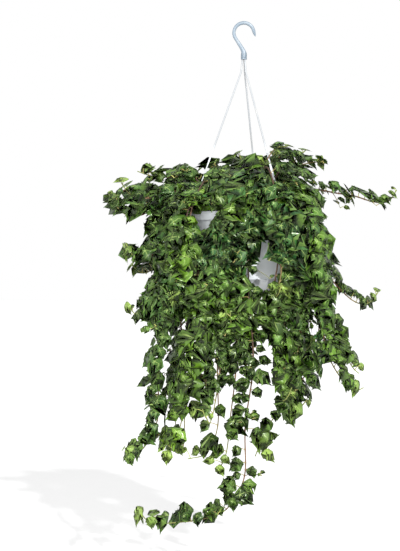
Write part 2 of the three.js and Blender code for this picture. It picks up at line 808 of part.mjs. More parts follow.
addPiece("hanger_hook", hook, "hook");
strands.forEach((strand, k) => addPiece(`hanger_strand_${k + 1}`, fromRim(strand), "strand"));
addPiece("pot", fromRim(pot), "plastic");
addPiece("drip_saucer", fromRim(saucer), "plastic");
addPiece("soil", fromRim(soil), "soil");
for (const stem of stems) addPiece(stem.name, fromRim(stem.solid), "ivy");

export default group;
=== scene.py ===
"""A hanging pot of English ivy: pot, saucer, hanger, soil and 53 leafy stems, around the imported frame."""

import math
import random

import bpy
import numpy as np
from bpy.props import FloatProperty, FloatVectorProperty, IntProperty, PointerProperty
from mathutils import Matrix, Vector, noise


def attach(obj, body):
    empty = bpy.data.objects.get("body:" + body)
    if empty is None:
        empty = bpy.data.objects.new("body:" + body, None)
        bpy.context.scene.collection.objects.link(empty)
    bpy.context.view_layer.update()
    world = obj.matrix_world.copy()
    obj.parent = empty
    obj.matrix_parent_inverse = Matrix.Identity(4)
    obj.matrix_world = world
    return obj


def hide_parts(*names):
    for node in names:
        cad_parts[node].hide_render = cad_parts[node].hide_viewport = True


bl_info = {
    "name": "Hanging ivy pot",
    "version": (1, 0, 0),
    "blender": (4, 5, 0),
    "location": "View3D > Sidebar > Ivy",
    "description": "Models a hanging pot of trailing English ivy piece by piece",
    "category": "Object",
}

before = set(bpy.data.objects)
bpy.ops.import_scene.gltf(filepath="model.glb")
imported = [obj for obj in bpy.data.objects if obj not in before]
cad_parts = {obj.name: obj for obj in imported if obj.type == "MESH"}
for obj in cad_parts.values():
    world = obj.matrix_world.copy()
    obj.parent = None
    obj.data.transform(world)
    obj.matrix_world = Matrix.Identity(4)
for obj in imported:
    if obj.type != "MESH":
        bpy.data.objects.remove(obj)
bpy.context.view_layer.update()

MM = 0.001
RIM_DROP = 308  # from the hook's seat down to the pot's rim; heights below are over the rim
UP = np.array((0.0, 0.0, 1.0))


def display(red, green, blue):
    """The linear colour of a colour given as it shows on a screen, 0 to 255"""
    shares = (red / 255, green / 255, blue / 255)
    return tuple(((c + 0.055) / 1.055) ** 2.4 if c > 0.04 else c / 12.92 for c in shares)


# What a user would change


def length(name, millimetres, description):
    return FloatProperty(name=name, default=millimetres * MM, min=0.0, unit="LENGTH", description=description)


def colour(name, shown, description):
    limits = {"subtype": "COLOR", "min": 0, "max": 1}
    return FloatVectorProperty(name=name, default=display(*shown), description=description, **limits)


def share(name, value, description):
    return FloatProperty(name=name, default=value, min=0, max=1, subtype="FACTOR", description=description)


def free(name, value, description, unit="NONE"):
    return FloatProperty(name=name, default=value, unit=unit, description=description)


class HangerSettings(bpy.types.PropertyGroup):
    bar_half_width: length("Bar half-width", 3.3, "Half the hook bar's width, in the hook's own plane")
    bar_half_depth: length("Bar half-depth", 2.7, "Half the hook bar's depth")
    arc_radius: length("Arc radius", 16.4, "Radius of the hook's arc at the middle of the bar")
    collar_radius: length("Collar radius", 5.0, "Radius of the collar that holds the strands")
    strand_radius: length("Strand radius", 1.4, "Radius of a strand's rod")
    tab_half_width: length("Tab half-width", 2.4, "Half the width of a strand's flat tab")
    hook_colour: colour("Hook", (106, 119, 130), "Colour of the hook's plastic")
    strand_colour: colour("Strand", (212, 216, 220), "Colour of the strands' plastic")


class PotSettings(bpy.types.PropertyGroup):
    rim_radius: length("Rim radius", 90, "Outside radius of the pot's rim")
    lip: length("Lip", 2.2, "Thickness of the lip on top of the rim band")
    band_height: length("Band height", 14, "Height of the rim band")
    base_radius: length("Base radius", 62.5, "Outside radius of the wall at the base")
    saucer_radius: length("Saucer radius", 68.8, "Radius of the saucer's lip")
    facets: IntProperty(name="Facets", default=96, min=24, description="Facets around the turned pieces")
    plastic: colour("Plastic", (226, 231, 234), "Colour of the pot's and the saucer's plastic")


class SoilSettings(bpy.types.PropertyGroup):
    roughness: length("Roughness", 1.6, "How far the soil's surface stands up and down")
    chips: IntProperty(name="Chips", default=260, min=0, description="Bits of bark and fibre on the soil")
    chip_size: length("Chip size", 5.5, "Mean length of a bit of bark")
    # painted shade: the soil is darker in its hollows; the other colour is the soil's own, and also tints the
    # bits of bark
    soil_in_painted_shade: colour("Damp soil", (38, 26, 18), "Colour of the soil in its hollows")
    soil_colour: colour("Dry soil", (92, 66, 46), "Colour of the soil and the bits on top")


class IvySettings(bpy.types.PropertyGroup):
    stem_base: length("Stem at the soil", 1.55, "Radius of a stem where it leaves the soil")
    stem_tip: length("Stem at the tip", 0.8, "Radius of a stem at its tip")
    stalk_radius: length("Leaf stalk", 0.72, "Radius of a leaf's stalk")
    blade_thickness: length("Blade thickness", 0.5, "Thickness of a blade at its middle")
    fold: share("Fold", 0.5, "How strongly blades fold up along their midrib")
    bigger: free("Blade size", 1.08, "Size of the blades, as a factor")
    bushiness: share("Bushiness", 0.3, "Share of the leaf nodes that bear a short side shoot")
    # the darkest blades: the oldest, and the leaves darkened as painted shade
    old_leaf_and_painted_shade: colour("Old leaf", (16, 38, 4), "Colour of the darkest, oldest blades")
    cool_leaf: colour("Cool leaf", (46, 92, 50), "Colour of grown blades that grew in the shade")
    warm_leaf: colour("Warm leaf", (92, 128, 28), "Colour of grown blades that grew in the light")
    young_leaf: colour("Young leaf", (150, 176, 82), "Colour of the youngest blades")
    vein: colour("Vein", (150, 172, 96), "Colour of the veins")
    # painted shade: the undersides get a darker green than their own pale one, as they are seen in shadow
    underside: colour("Underside", (78, 108, 36), "Colour of the blades' undersides")
    wood: colour("Woody stem", (70, 48, 36), "Colour of a stem near the soil")
    shoot: colour("Green shoot", (112, 122, 58), "Colour of a stem at its tip")
    stalk: colour("Leaf stalk colour", (190, 190, 104), "Colour of a leaf's stalk")


class StudioSettings(bpy.types.PropertyGroup):
    distance: free("Camera distance", 2.7, "From the plant's axis", "LENGTH")
    aim_x: free("Aim across", -0.072, "What the camera aims at", "LENGTH")
    aim_z: free("Aim height", -0.411, "What the camera aims at", "LENGTH")
    view_height: free("View height", 0.9036, "Height of the view at the plant's axis", "LENGTH")
    floor_height: free("Floor", -0.93, "Height of the floor", "LENGTH")
    key: free("Key light", 3.5, "Strength of the key light")
    front: free("Front light", 46.0, "Power of the soft front light")
    sky: free("Fill light", 1.0, "Strength of the light from all round")


SETTINGS = {
    "ivy_hanger": HangerSettings,
    "ivy_pot": PotSettings,
    "ivy_soil": SoilSettings,
    "ivy_plant": IvySettings,
    "ivy_studio": StudioSettings,
}


# Working with pieces


def deselect_all():
    if bpy.context.object and bpy.context.object.mode != "OBJECT":
        bpy.ops.object.mode_set(mode="OBJECT")
    bpy.ops.object.select_all(action="DESELECT")


def take(piece):
    """Makes a piece the only one selected, and the active one"""
    deselect_all()
    piece.select_set(True)
    bpy.context.view_layer.objects.active = piece


def begin_editing(select="SELECT"):
    bpy.ops.object.mode_set(mode="EDIT")
    bpy.ops.mesh.select_all(action=select)


def end_editing():
    bpy.ops.object.mode_set(mode="OBJECT")


def join(pieces, name):
    deselect_all()
    for piece in pieces:
        piece.select_set(True)
    bpy.context.view_layer.objects.active = pieces[0]
    if len(pieces) > 1:
        bpy.ops.object.join()
    pieces[0].name = pieces[0].data.name = name
    return pieces[0]


def copy_of(template):
    """A copy with its own mesh"""
    piece = template.copy()
    piece.data = template.data.copy()
    bpy.context.collection.objects.link(piece)
    return piece


def wear(piece, *materials):
    piece.data.materials.clear()
    for material in materials:
        piece.data.materials.append(material)


def stand_for(piece, slot, *nodes):
    """Puts a finished piece in place of its CAD nodes"""
    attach(piece, "root")
    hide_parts(*nodes)


def apply_modifier(piece, kind, **settings):
    take(piece)
    modifier = piece.modifiers.new(kind.title(), kind)
    for key, value in settings.items():
        setattr(modifier, key, value)
    bpy.ops.object.modifier_apply(modifier=modifier.name)


def round_edges(piece, width, degrees):
    limit = {"limit_method": "ANGLE", "angle_limit": math.radians(degrees)}
    apply_modifier(piece, "BEVEL", width=width, segments=2, **limit)


def close_shell(piece, merge=0.00001):
    """Merges doubles and turns every face outwards"""
    take(piece)
    begin_editing()
    bpy.ops.mesh.remove_doubles(threshold=merge)
    bpy.ops.mesh.normals_make_consistent(inside=False)
    end_editing()


def smooth(piece, degrees=32):
    take(piece)
    bpy.ops.object.shade_smooth_by_angle(angle=math.radians(degrees))


def turned(name, profile, facets, centre=(0.0, 0.0)):
    """A solid turned from a profile of (radius, height) in millimetres: a disc, extruded ring by ring"""
    deselect_all()
    (radius, height), rest = profile[0], profile[1:]
    x, y = centre
    place = (x * MM, y * MM, (height - RIM_DROP) * MM)
    bpy.ops.mesh.primitive_circle_add(vertices=facets, radius=radius * MM, fill_type="NGON", location=place)
    piece = bpy.context.object
    bpy.ops.object.transform_apply(location=True, rotation=True, scale=True)
    begin_editing()
    for next_radius, next_height in rest:
        rise = (0, 0, (next_height - height) * MM)
        bpy.ops.mesh.extrude_region_move(TRANSFORM_OT_translate={"value": rise})
        wider = next_radius / radius
        bpy.ops.transform.resize(value=(wider, wider, 1), center_override=(x * MM, y * MM, 0))
        radius, height = next_radius, next_height
    bpy.ops.mesh.select_all(action="SELECT")
    bpy.ops.mesh.normals_make_consistent(inside=False)
    end_editing()
    piece.name = piece.data.name = name
    return piece


def box(size, centre, azimuth=0.0):
    """A box of a size in millimetres, turned about the pot's axis"""
    deselect_all()
    bpy.ops.mesh.primitive_cube_add(size=1, location=[c * MM for c in centre])
    piece = bpy.context.object
    piece.scale = [s * MM for s in size]
    bpy.ops.object.transform_apply(location=True, rotation=True, scale=True)
    begin_editing()
    # without a window the operator turns the other way
    bpy.ops.transform.rotate(value=-math.radians(azimuth), orient_axis="Z", center_override=(0, 0, 0))
    end_editing()
    return piece


def cut(piece, cutter):
    apply_modifier(piece, "BOOLEAN", operation="DIFFERENCE", solver="EXACT", object=cutter)
    bpy.data.objects.remove(cutter)


# Materials: a short way to wire a node tree


class Finish:
    def __init__(self, name):
        self.material = bpy.data.materials.new(name)
        self.material.use_nodes = True
        self.tree = self.material.node_tree
        self.shader = self.tree.nodes["Principled BSDF"]

    def node(self, kind, inputs=(), **settings):
        node = self.tree.nodes.new(kind)
        for key, value in settings.items():
            setattr(node, key, value)
        for key, value in dict(inputs).items():
            self.feed(node.inputs[key], value)
        return node

    def feed(self, socket, value):
        if isinstance(value, bpy.types.NodeSocket):
            self.tree.links.new(value, socket)
        elif socket.type == "RGBA" and len(value) == 3:
            socket.default_value = (*value, 1)
        else:
            socket.default_value = value

    def math(self, operation, a, b=0.0, c=0.0):
        return self.node("ShaderNodeMath", {0: a, 1: b, 2: c}, operation=operation).outputs[0]

    def times(self, a, b):
        return self.math("MULTIPLY", a, b)

    def plus(self, a, b):
        return self.math("ADD", a, b)

    def minus(self, a, b):
        return self.math("SUBTRACT", a, b)

    def spread(self, value, low, high, to_low=0.0, to_high=1.0, smoothly=True):
        """Takes low..high to to_low..to_high"""
        inputs = {"Value": value, "From Min": low, "From Max": high, "To Min": to_low, "To Max": to_high}
        kind = "SMOOTHSTEP" if smoothly else "LINEAR"
        return self.node("ShaderNodeMapRange", inputs, interpolation_type=kind).outputs["Result"]

    def mix(self, factor, a, b, blend="MIX"):
        node = self.node("ShaderNodeMix", data_type="RGBA", blend_type=blend)
        self.feed(node.inputs["Factor"], factor)
        self.feed(node.inputs["A"], a)
        self.feed(node.inputs["B"], b)
        return node.outputs["Result"]

    def place(self):
        return self.node("ShaderNodeTexCoord").outputs["Object"]

    def noise(self, scale, detail=3.0, roughness=0.5, place=None):
        inputs = {"Vector": place or self.place(), "Scale": scale, "Detail": detail, "Roughness": roughness}
        return self.node("ShaderNodeTexNoise", inputs).outputs["Fac"]

    def cells(self, scale, feature="F1", place=None):
        inputs = {"Vector": place or self.place(), "Scale": scale}
        return self.node("ShaderNodeTexVoronoi", inputs, feature=feature).outputs["Distance"]

    def attribute(self, name):
        return self.node("ShaderNodeAttribute", attribute_name=name).outputs["Fac"]

    def relief(self, height, depth, strength=1.0):
        """Raises the surface by a height of 0 to 1 times a depth in metres"""
        bump = self.node("ShaderNodeBump", {"Height": height, "Distance": depth, "Strength": strength})
        self.set(Normal=bump.outputs["Normal"])

    def set(self, **values):
        """Sets or wires the shader's own inputs"""
        for key, value in values.items():
            self.feed(self.shader.inputs[key.replace("_", " ")], value)


def moulded_plastic(name, base, roughness=0.42, pale_below=None, scatter=0.0, upper=None):
    """Satin moulded plastic: cloudy colour, faint flow marks, fine orange peel and a little dust, with
    painted shade over its upper part where one is given
    """
    finish = Finish(name)
    height = finish.node("ShaderNodeSeparateXYZ", {0: finish.place()}).outputs["Z"]
    cloud = finish.noise(14, 4)
    dust = finish.spread(finish.noise(60, 6, 0.65), 0.5, 0.75)
    tinted = finish.mix(cloud, [c * 0.86 for c in base], [min(1, c * 1.1) for c in base])
    # painted shade: above a given height the colour goes over to a darker one
    if upper:
        other, low, high = upper
        tinted = finish.mix(finish.spread(height, low, high), tinted, other)
    tinted = finish.mix(finish.times(dust, 0.16), tinted, display(206, 200, 188))
    if pale_below:
        low, high = pale_below
        near = finish.spread(height, high, low)
        stain = finish.times(near, finish.spread(finish.noise(35, 5), 0.42, 0.7))
        tinted = finish.mix(finish.times(stain, 0.35), tinted, display(112, 104, 92))
    gloss = finish.spread(finish.noise(40, 3), 0.3, 0.7, roughness - 0.08, roughness + 0.1)
    finish.set(Base_Color=tinted, Roughness=gloss, Specular_IOR_Level=0.45)
    if scatter:
        finish.set(Subsurface_Weight=scatter, Subsurface_Radius=(0.004, 0.004, 0.0045), Subsurface_Scale=1.0)
    grain = finish.plus(finish.noise(900, 2), finish.times(finish.noise(120, 2), 0.8))
    finish.relief(grain, 0.00012, 0.5)
    return finish.material


def potting_soil(settings):
    finish = Finish("potting_soil")
    lumps = finish.noise(130, 8, 0.7)
    fibre = finish.cells(420)
    # painted shade: the hollows between the lumps take the darker colour
    tinted = finish.mix(finish.spread(lumps, 0.35, 0.68), settings.soil_in_painted_shade, settings.soil_colour)
    tinted = finish.mix(finish.spread(fibre, 0.25, 0.05), tinted, display(128, 98, 66))
    finish.set(Base_Color=tinted, Roughness=finish.spread(lumps, 0.3, 0.7, 0.8, 0.97))
    finish.relief(finish.plus(lumps, finish.times(fibre, -0.5)), 0.0022, 0.9)
    return finish.material


def bark_chip(settings):
    finish = Finish("bark_chip")
    tone = finish.attribute("tone")
    grain = finish.noise(260, 6, 0.7)
    tinted = finish.mix(tone, [c * 0.6 for c in settings.soil_colour], display(150, 112, 76))
    tinted = finish.mix(finish.spread(grain, 0.35, 0.7), tinted, [c * 0.5 for c in settings.soil_colour])
    finish.set(Base_Color=tinted, Roughness=finish.spread(grain, 0.3, 0.7, 0.72, 0.95))
    finish.relief(grain, 0.0008, 0.8)
    return finish.material


BLADE_UV = 0.7  # the blade's own outline, in lengths of the blade, is laid in its UV map at this scale
BLADE_UV_BASE = (0.5, 0.25)
VEINS = [  # angle from the midrib, width at the base of the blade and reach, in lengths of the blade
    (0, 0.028, 1.02),
    (59, 0.022, 0.66),
    (119, 0.018, 0.42),
]


def blade_veins(finish):
    """How much of a vein there is at a point: the main ribs, and the fine ones that leave the midrib"""
    uv = finish.node("ShaderNodeUVMap", uv_map="UVMap").outputs["UV"]
    parts = finish.node("ShaderNodeSeparateXYZ", {0: uv})
    across = finish.minus(parts.outputs["X"], BLADE_UV_BASE[0])
    across = finish.times(finish.math("ABSOLUTE", across), 1 / BLADE_UV)
    along = finish.times(finish.minus(parts.outputs["Y"], BLADE_UV_BASE[1]), 1 / BLADE_UV)
    ribs = 0.0
    for angle, width, reach in VEINS:
        cos, sin = math.cos(math.radians(angle)), math.sin(math.radians(angle))
        off = finish.math("ABSOLUTE", finish.minus(finish.times(across, cos), finish.times(along, sin)))
        out = finish.plus(finish.times(across, sin), finish.times(along, cos))
        edge = finish.spread(out, 0, reach, width, 0.15 * width, smoothly=False)
        rib = finish.spread(finish.math("DIVIDE", off, edge), 0.5, 1.3, 1, 0)
        ribs = finish.math("MAXIMUM", ribs, finish.times(rib, finish.spread(out, -0.01, 0.01)))
    slant = finish.minus(along, finish.times(across, 0.9))
    fine = finish.spread(finish.math("PINGPONG", slant, 0.075), 0.0, 0.014, 1, 0)
    fine = finish.times(fine, finish.spread(across, 0.0, 0.03))
    return ribs, fine


def ivy_blade(settings):
    """The glossy upper side: dark, grown or young by the leaf, darker where its tone carries painted shade,
    mottled, with paler sunken veins
    """
    finish = Finish("ivy_blade")
    tone, age, warmth = (finish.attribute(name) for name in ("tone", "age", "warmth"))
    ribs, fine = blade_veins(finish)
    mottle = finish.noise(240, 4, 0.6)
    blotch = finish.noise(55, 3)
    grown = finish.mix(warmth, settings.cool_leaf, settings.warm_leaf)
    # the tone holds the leaf's own tone and its painted shade; low tone takes the darkest colour
    green = finish.mix(finish.spread(tone, 0.0, 1.0, smoothly=False), settings.old_leaf_and_painted_shade, grown)
    green = finish.mix(finish.spread(age, 0.3, 1.0, 0.0, 0.85), green, settings.young_leaf)
    green = finish.mix(finish.spread(mottle, 0.3, 0.7, 0.0, 0.35), green, settings.old_leaf_and_painted_shade)
    green = finish.mix(finish.spread(blotch, 0.35, 0.7, 0.0, 0.25), green, grown)
    green = finish.mix(finish.times(fine, 0.2), green, settings.vein)
    green = finish.mix(finish.times(ribs, 0.6), green, settings.vein)
    finish.set(Base_Color=green, Roughness=finish.spread(blotch, 0.3, 0.7, 0.2, 0.36))
    finish.set(Specular_IOR_Level=0.46, Specular_Tint=(0.9, 1.0, 0.75))
    height = finish.minus(finish.times(mottle, 0.35), finish.plus(ribs, finish.times(fine, 0.45)))
    finish.relief(height, 0.0005, 0.7)
    return finish.material


def ivy_underside(settings):
    """The matt underside with raised veins, its colour darker than a real pale underside as painted shade"""
    finish = Finish("ivy_underside")
    age = finish.attribute("age")
    ribs, fine = blade_veins(finish)
    mottle = finish.noise(200, 4, 0.6)
    darker = [c * 0.72 for c in settings.underside]
    green = finish.mix(finish.spread(mottle, 0.3, 0.7), darker, settings.underside)
    green = finish.mix(finish.spread(age, 0.4, 1.0, 0.0, 0.6), green, settings.young_leaf)
    green = finish.mix(finish.times(ribs, 0.6), green, settings.vein)
    finish.set(Base_Color=green, Roughness=finish.spread(mottle, 0.3, 0.7, 0.55, 0.7))
    height = finish.plus(finish.times(mottle, 0.3), finish.plus(ribs, finish.times(fine, 0.4)))
    finish.relief(height, 0.0004, 0.6)
    return finish.material


def ivy_stem(settings):
    """Brown and ridged near the soil, reddish further on, green at the tip"""
    finish = Finish("ivy_stem")
    age = finish.attribute("age")
    bark = finish.noise(300, 5, 0.65)
    ridges = finish.cells(700)
    wood = finish.mix(finish.spread(bark, 0.3, 0.7), [c * 0.55 for c in settings.wood], settings.wood)
    wood = finish.mix(finish.spread(age, 0.3, 0.75), wood, display(112, 82, 58))
    wood = finish.mix(finish.spread(age, 0.72, 1.0), wood, settings.shoot)
    finish.set(Base_Color=wood, Roughness=finish.spread(bark, 0.3, 0.7, 0.55, 0.8))
    finish.relief(finish.plus(bark, ridges), 0.0006, 0.7)
    return finish.material


def ivy_stalk(settings):
    """Pale stalks, flushed red at some leaves and greener at the young ones; the flush follows the leaf's
    tone, so it also carries the leaf's painted shade
    """
    finish = Finish("ivy_stalk")
    tone, age = finish.attribute("tone"), finish.attribute("age")
    streak = finish.noise(350, 3)
    pale = finish.mix(finish.spread(streak, 0.3, 0.7), [c * 0.7 for c in settings.stalk], settings.stalk)
    # low tone flushes the stalk: the leaf's own tone and its painted shade
    pale = finish.mix(finish.spread(tone, 0.75, 0.25, 0.0, 0.65), pale, display(120, 92, 62))
    pale = finish.mix(finish.spread(age, 0.6, 1.0, 0.0, 0.6), pale, settings.young_leaf)
    finish.set(Base_Color=pale, Roughness=finish.spread(streak, 0.3, 0.7, 0.4, 0.55))
    finish.relief(streak, 0.0002, 0.5)
    return finish.material


# The hanger

HOOK = {"collar_top": -45, "collar_bottom": -57}
SOCKET = {"offset": 2.5, "radius": 1.75, "depth": 9}
STRAND_AZIMUTHS = (72, 192, 312)
STRAND_PAINTED_SHADE = (-0.225, -0.19)  # the heights between which a strand goes from pale to dark, in metres: painted shade on its upper part


def hook_line(settings):
    """The middle of the hook's bar, (x, z, share of its full size) in millimetres from the hook's seat"""
    arc = settings.arc_radius / MM
    middle = settings.bar_half_width / MM - arc
    line = [(0, -50, 1.46), (0, -46.5, 1.42), (-0.9, -43.2, 1.32), (-2.8, -39.4, 1.2), (-5.5, -34.8, 1.1)]
    line += [(-8.9, -29.6, 1.04), (-12.3, -24.2, 1.0)]
    for turn in range(205, 28, -8):
        angle = math.radians(turn)
        line.append((arc * math.cos(angle), middle + arc * math.sin(angle), 1.0))
    tip = [(16.1, 3.2, 0.98), (17.1, -0.4, 0.84), (18.2, -3.6, 0.52), (18.9, -5.8, 0.14)]
    return line + [(x, middle + z, size) for x, z, size in tip]


class IVY_OT_hook(bpy.types.Operator):
    """Bends the hook's channelled bar and turns its collar with the three sockets"""

    bl_idname = "ivy.hook"
    bl_label = "Hook"

    def execute(self, context):
        settings = context.scene.ivy_hanger
        wide, deep = settings.bar_half_width / MM, settings.bar_half_depth / MM
        deselect_all()
        bpy.ops.curve.primitive_nurbs_path_add()
        section = context.object
        outline = [(1, 0.55), (0.8, 0.95), (0.5, 1), (0.3, 0.72)]
        outline += [(-x, y) for x, y in reversed(outline)]
        outline += [(-x, -y) for x, y in outline]
        self.fill(section, [(deep * y * MM, wide * x * MM, 0, 1) for x, y in outline], closed=True)
        bpy.ops.curve.primitive_nurbs_path_add()
        bar = context.object
        self.fill(bar, [(x * MM, 0, z * MM, size) for x, z, size in hook_line(settings)])
        bar.data.bevel_mode = "OBJECT"
        bar.data.bevel_object = section
        bar.data.twist_mode = "MINIMUM"
        take(bar)
        bpy.ops.object.convert(target="MESH")
        bpy.data.objects.remove(section)
        bar = context.object
        begin_editing()
        bpy.ops.mesh.fill_holes(sides=0)
        bpy.ops.mesh.normals_make_consistent(inside=False)
        end_editing()
        round_edges(bar, 0.0004, 40)
        radius, top, bottom = settings.collar_radius / MM, HOOK["collar_top"], HOOK["collar_bottom"]
        profile = [(radius - 0.3, bottom), (radius, bottom + 0.4), (radius, bottom + 2.2)]
        profile += [(radius - 0.35, bottom + 2.6), (radius - 0.35, bottom + 3.2), (radius, bottom + 3.6)]
        profile += [(radius - 0.15, top - 3)]
        profile += [(radius - 0.5, top - 1), (radius - 1.2, top + 1)]
        collar = turned("collar", [(r, z + RIM_DROP) for r, z in profile], 48)
        for azimuth in STRAND_AZIMUTHS:
            hole = [(SOCKET["radius"], bottom + RIM_DROP + z) for z in (-1, SOCKET["depth"])]
            cut(collar, turned("socket", hole, 16, polar(azimuth, SOCKET["offset"], 0)[:2]))
        hook = join([bar, collar], "finished_hook")
        smooth(hook, 36)
        wear(hook, moulded_plastic("hook_plastic", settings.hook_colour, 0.34, scatter=0.15))
        stand_for(hook, "hook", "hanger_hook")
        return {"FINISHED"}

    def fill(self, curve, points, closed=False):
        curve.location = (0, 0, 0)
        curve.data.splines.clear()
        curve.data.dimensions = "2D" if closed else "3D"
        spline = curve.data.splines.new("POLY")
        spline.points.add(len(points) - 1)
        spline.use_cyclic_u = closed
        for point, (x, y, z, size) in zip(spline.points, points):
            point.co = (x, y, z, 1)
            point.radius = size


class IVY_OT_strands(bpy.types.Operator):
    """Draws one strand, rod, tab and cross bar, and sets a copy at each of the three slots"""

    bl_idname = "ivy.strands"
    bl_label = "Strands"

    def execute(self, context):
        settings = context.scene.ivy_hanger
        strand = self.strand(settings, context.scene.ivy_pot.lip / MM)
        # painted shade: over the crown the strand takes a darker colour
        darker = [c * 0.45 for c in settings.strand_colour]
        upper = (darker, *STRAND_PAINTED_SHADE)
        wear(strand, moulded_plastic("strand_plastic", settings.strand_colour, 0.36, upper=upper))
        for number, azimuth in enumerate(STRAND_AZIMUTHS, 1):
            piece = copy_of(strand)
            piece.name = piece.data.name = f"finished_strand_{number}"
            piece.data.transform(Matrix.Rotation(math.radians(azimuth), 4, "Z"))
            stand_for(piece, "strand", f"hanger_strand_{number}")
        bpy.data.objects.remove(strand)
        return {"FINISHED"}

    def strand(self, settings, lip):
        """The strand at azimuth 0: a disc at the cross bar, extruded station by station to the collar"""
        rod, tab, thick = settings.strand_radius / MM, settings.tab_half_width / MM, 0.9
        foot, mouth = -lip - 0.35, HOOK["collar_bottom"] + RIM_DROP
        slot = SLOT["radius"]

        def lean(z):
            return slot - (z - 8) * (slot - 4.5) / (mouth - 28)

        stations = [(slot, foot - 1, 0.75, tab), (slot, 4, thick, tab), (lean(12), 12, thick, tab)]
        stations += [(lean(z), z, thick, tab) for z in (28, 44, 60, 72)]
        stations += [(lean(76), 76, 0.95, 0.9 * tab), (lean(80), 80, 1.1, 0.68 * tab)]
        stations += [(lean(z), z, rod, rod) for z in (84, 110, 150, 190, mouth - 20)]
        stations += [(4.0, mouth - 12, rod, rod), (2.9, mouth - 6, rod, rod), (2.6, mouth, rod, rod)]
        stations += [(2.5, mouth + 8, rod, rod)]
        x, z, thin, wide = stations[0]
        deselect_all()
        bpy.ops.mesh.primitive_circle_add(vertices=16, radius=MM, fill_type="NGON")
        piece = bpy.context.object
        piece.location = (x * MM, 0, (z - RIM_DROP) * MM)
        piece.scale = (thin, wide, 1)
        bpy.ops.object.transform_apply(location=True, rotation=True, scale=True)
        begin_editing()
        for x1, z1, thin1, wide1 in stations[1:]:
            step = ((x1 - x) * MM, 0, (z1 - z) * MM)
            bpy.ops.mesh.extrude_region_move(TRANSFORM_OT_translate={"value": step})
            middle = (x1 * MM, 0, (z1 - RIM_DROP) * MM)
            bpy.ops.transform.resize(value=(thin1 / thin, wide1 / wide, 1), center_override=middle)
            x, z, thin, wide = x1, z1, thin1, wide1
        end_editing()
        close_shell(piece)
        bar = box((1.5, 8, 3), (slot, 0, foot - 1.5 - RIM_DROP))
        apply_modifier(bar, "BEVEL", width=0.0004, segments=2)
        strand = join([piece, bar], "strand")
        smooth(strand, 40)
        return strand


# The pot and its saucer

WALL_TOP_RADIUS, WALL, BAND_WALL = 85.3, 1.7, 1.6
BASE_HEIGHT = -121
DRAIN_HOLE, DRAIN_CIRCLE = 4, 30
SLOT = {"radius": 86.5, "radial": 2.6, "tangential": 6.2}


def wall_radius(z, base, lip):
    """The outside radius of the pot's tapered wall at a height"""
    return base + (z - BASE_HEIGHT) / (-lip - BASE_HEIGHT) * (WALL_TOP_RADIUS - base)


class IVY_OT_pot(bpy.types.Operator):
    """Turns the pot with its hollow rim band and foot ring, and cuts its slots and drain holes"""

    bl_idname = "ivy.pot"
    bl_label = "Pot"

    def execute(self, context):
        settings = context.scene.ivy_pot
        rim, lip = settings.rim_radius / MM, settings.lip / MM
        band, base = settings.band_height / MM, settings.base_radius / MM

        def wall(z):
            return wall_radius(z, base, lip)

        profile = [(49, BASE_HEIGHT), (49, -126.7), (52.5, -126.7), (52.5, BASE_HEIGHT), (base, BASE_HEIGHT)]
        profile += [(wall(z), z) for z in (-109.5, -60)] + [(WALL_TOP_RADIUS, -lip), (rim - BAND_WALL, -lip)]
        profile += [(rim - BAND_WALL - 0.3, -band), (rim - 0.8, -band), (rim - 0.1, -1.4), (rim, -0.9)]
        profile += [(rim - 0.9, 0)]
        profile += [(WALL_TOP_RADIUS - WALL + 0.7, 0), (WALL_TOP_RADIUS - WALL, -0.8)]
        profile += [(wall(-60) - WALL, -60), (base - WALL, BASE_HEIGHT + WALL)]
        pot = turned("finished_pot", profile, settings.facets)
        round_edges(pot, 0.00045, 50)
        for azimuth in STRAND_AZIMUTHS:
            size = (SLOT["radial"], SLOT["tangential"], 4 * lip)
            cut(pot, box(size, (SLOT["radius"], 0, -RIM_DROP), azimuth))
        for turn in range(45, 360, 90):
            hole = [(DRAIN_HOLE, BASE_HEIGHT - WALL), (DRAIN_HOLE, BASE_HEIGHT + 2 * WALL)]
            cut(pot, turned("drain", hole, 24, polar(turn, DRAIN_CIRCLE, 0)[:2]))
        smooth(pot, 30)
        floor = (BASE_HEIGHT - RIM_DROP) * MM
        wear(pot, moulded_plastic("pot_plastic", settings.plastic, pale_below=(floor, floor + 0.045)))
        stand_for(pot, "pot", "pot")
        return {"FINISHED"}


class IVY_OT_saucer(bpy.types.Operator):
    """Turns the saucer that grips the pot's base"""

    bl_idname = "ivy.saucer"
    bl_label = "Drip saucer"

    def execute(self, context):
        settings = context.scene.ivy_pot
        lip = settings.saucer_radius / MM
        base = settings.base_radius / MM
        grip = wall_radius(-109, base, settings.lip / MM) + 0.35
        profile = [(60, -129.2), (63.6, -129.2), (64.3, -128.2), (lip - 0.5, -111), (lip, -110.4)]
        profile += [(lip, -109.4), (lip - 0.5, -109), (grip, -109), (grip, -111.5), (lip - 2.6, -113.5)]
        profile += [(62, -127)]
        saucer = turned("finished_saucer", profile, settings.facets)
        round_edges(saucer, 0.0003, 50)
        smooth(saucer, 30)
        darker = [c * 0.42 for c in settings.plastic]
        wear(saucer, moulded_plastic("saucer_plastic", darker, 0.46, pale_below=(-0.437, -0.417)))
        stand_for(saucer, "pot", "drip_saucer")
        return {"FINISHED"}


# The soil

SOIL_TOP, SOIL_EDGE = -6, -10
MOUND = 50  # the radius of the soil's flat top
SOIL_RINGS = 26


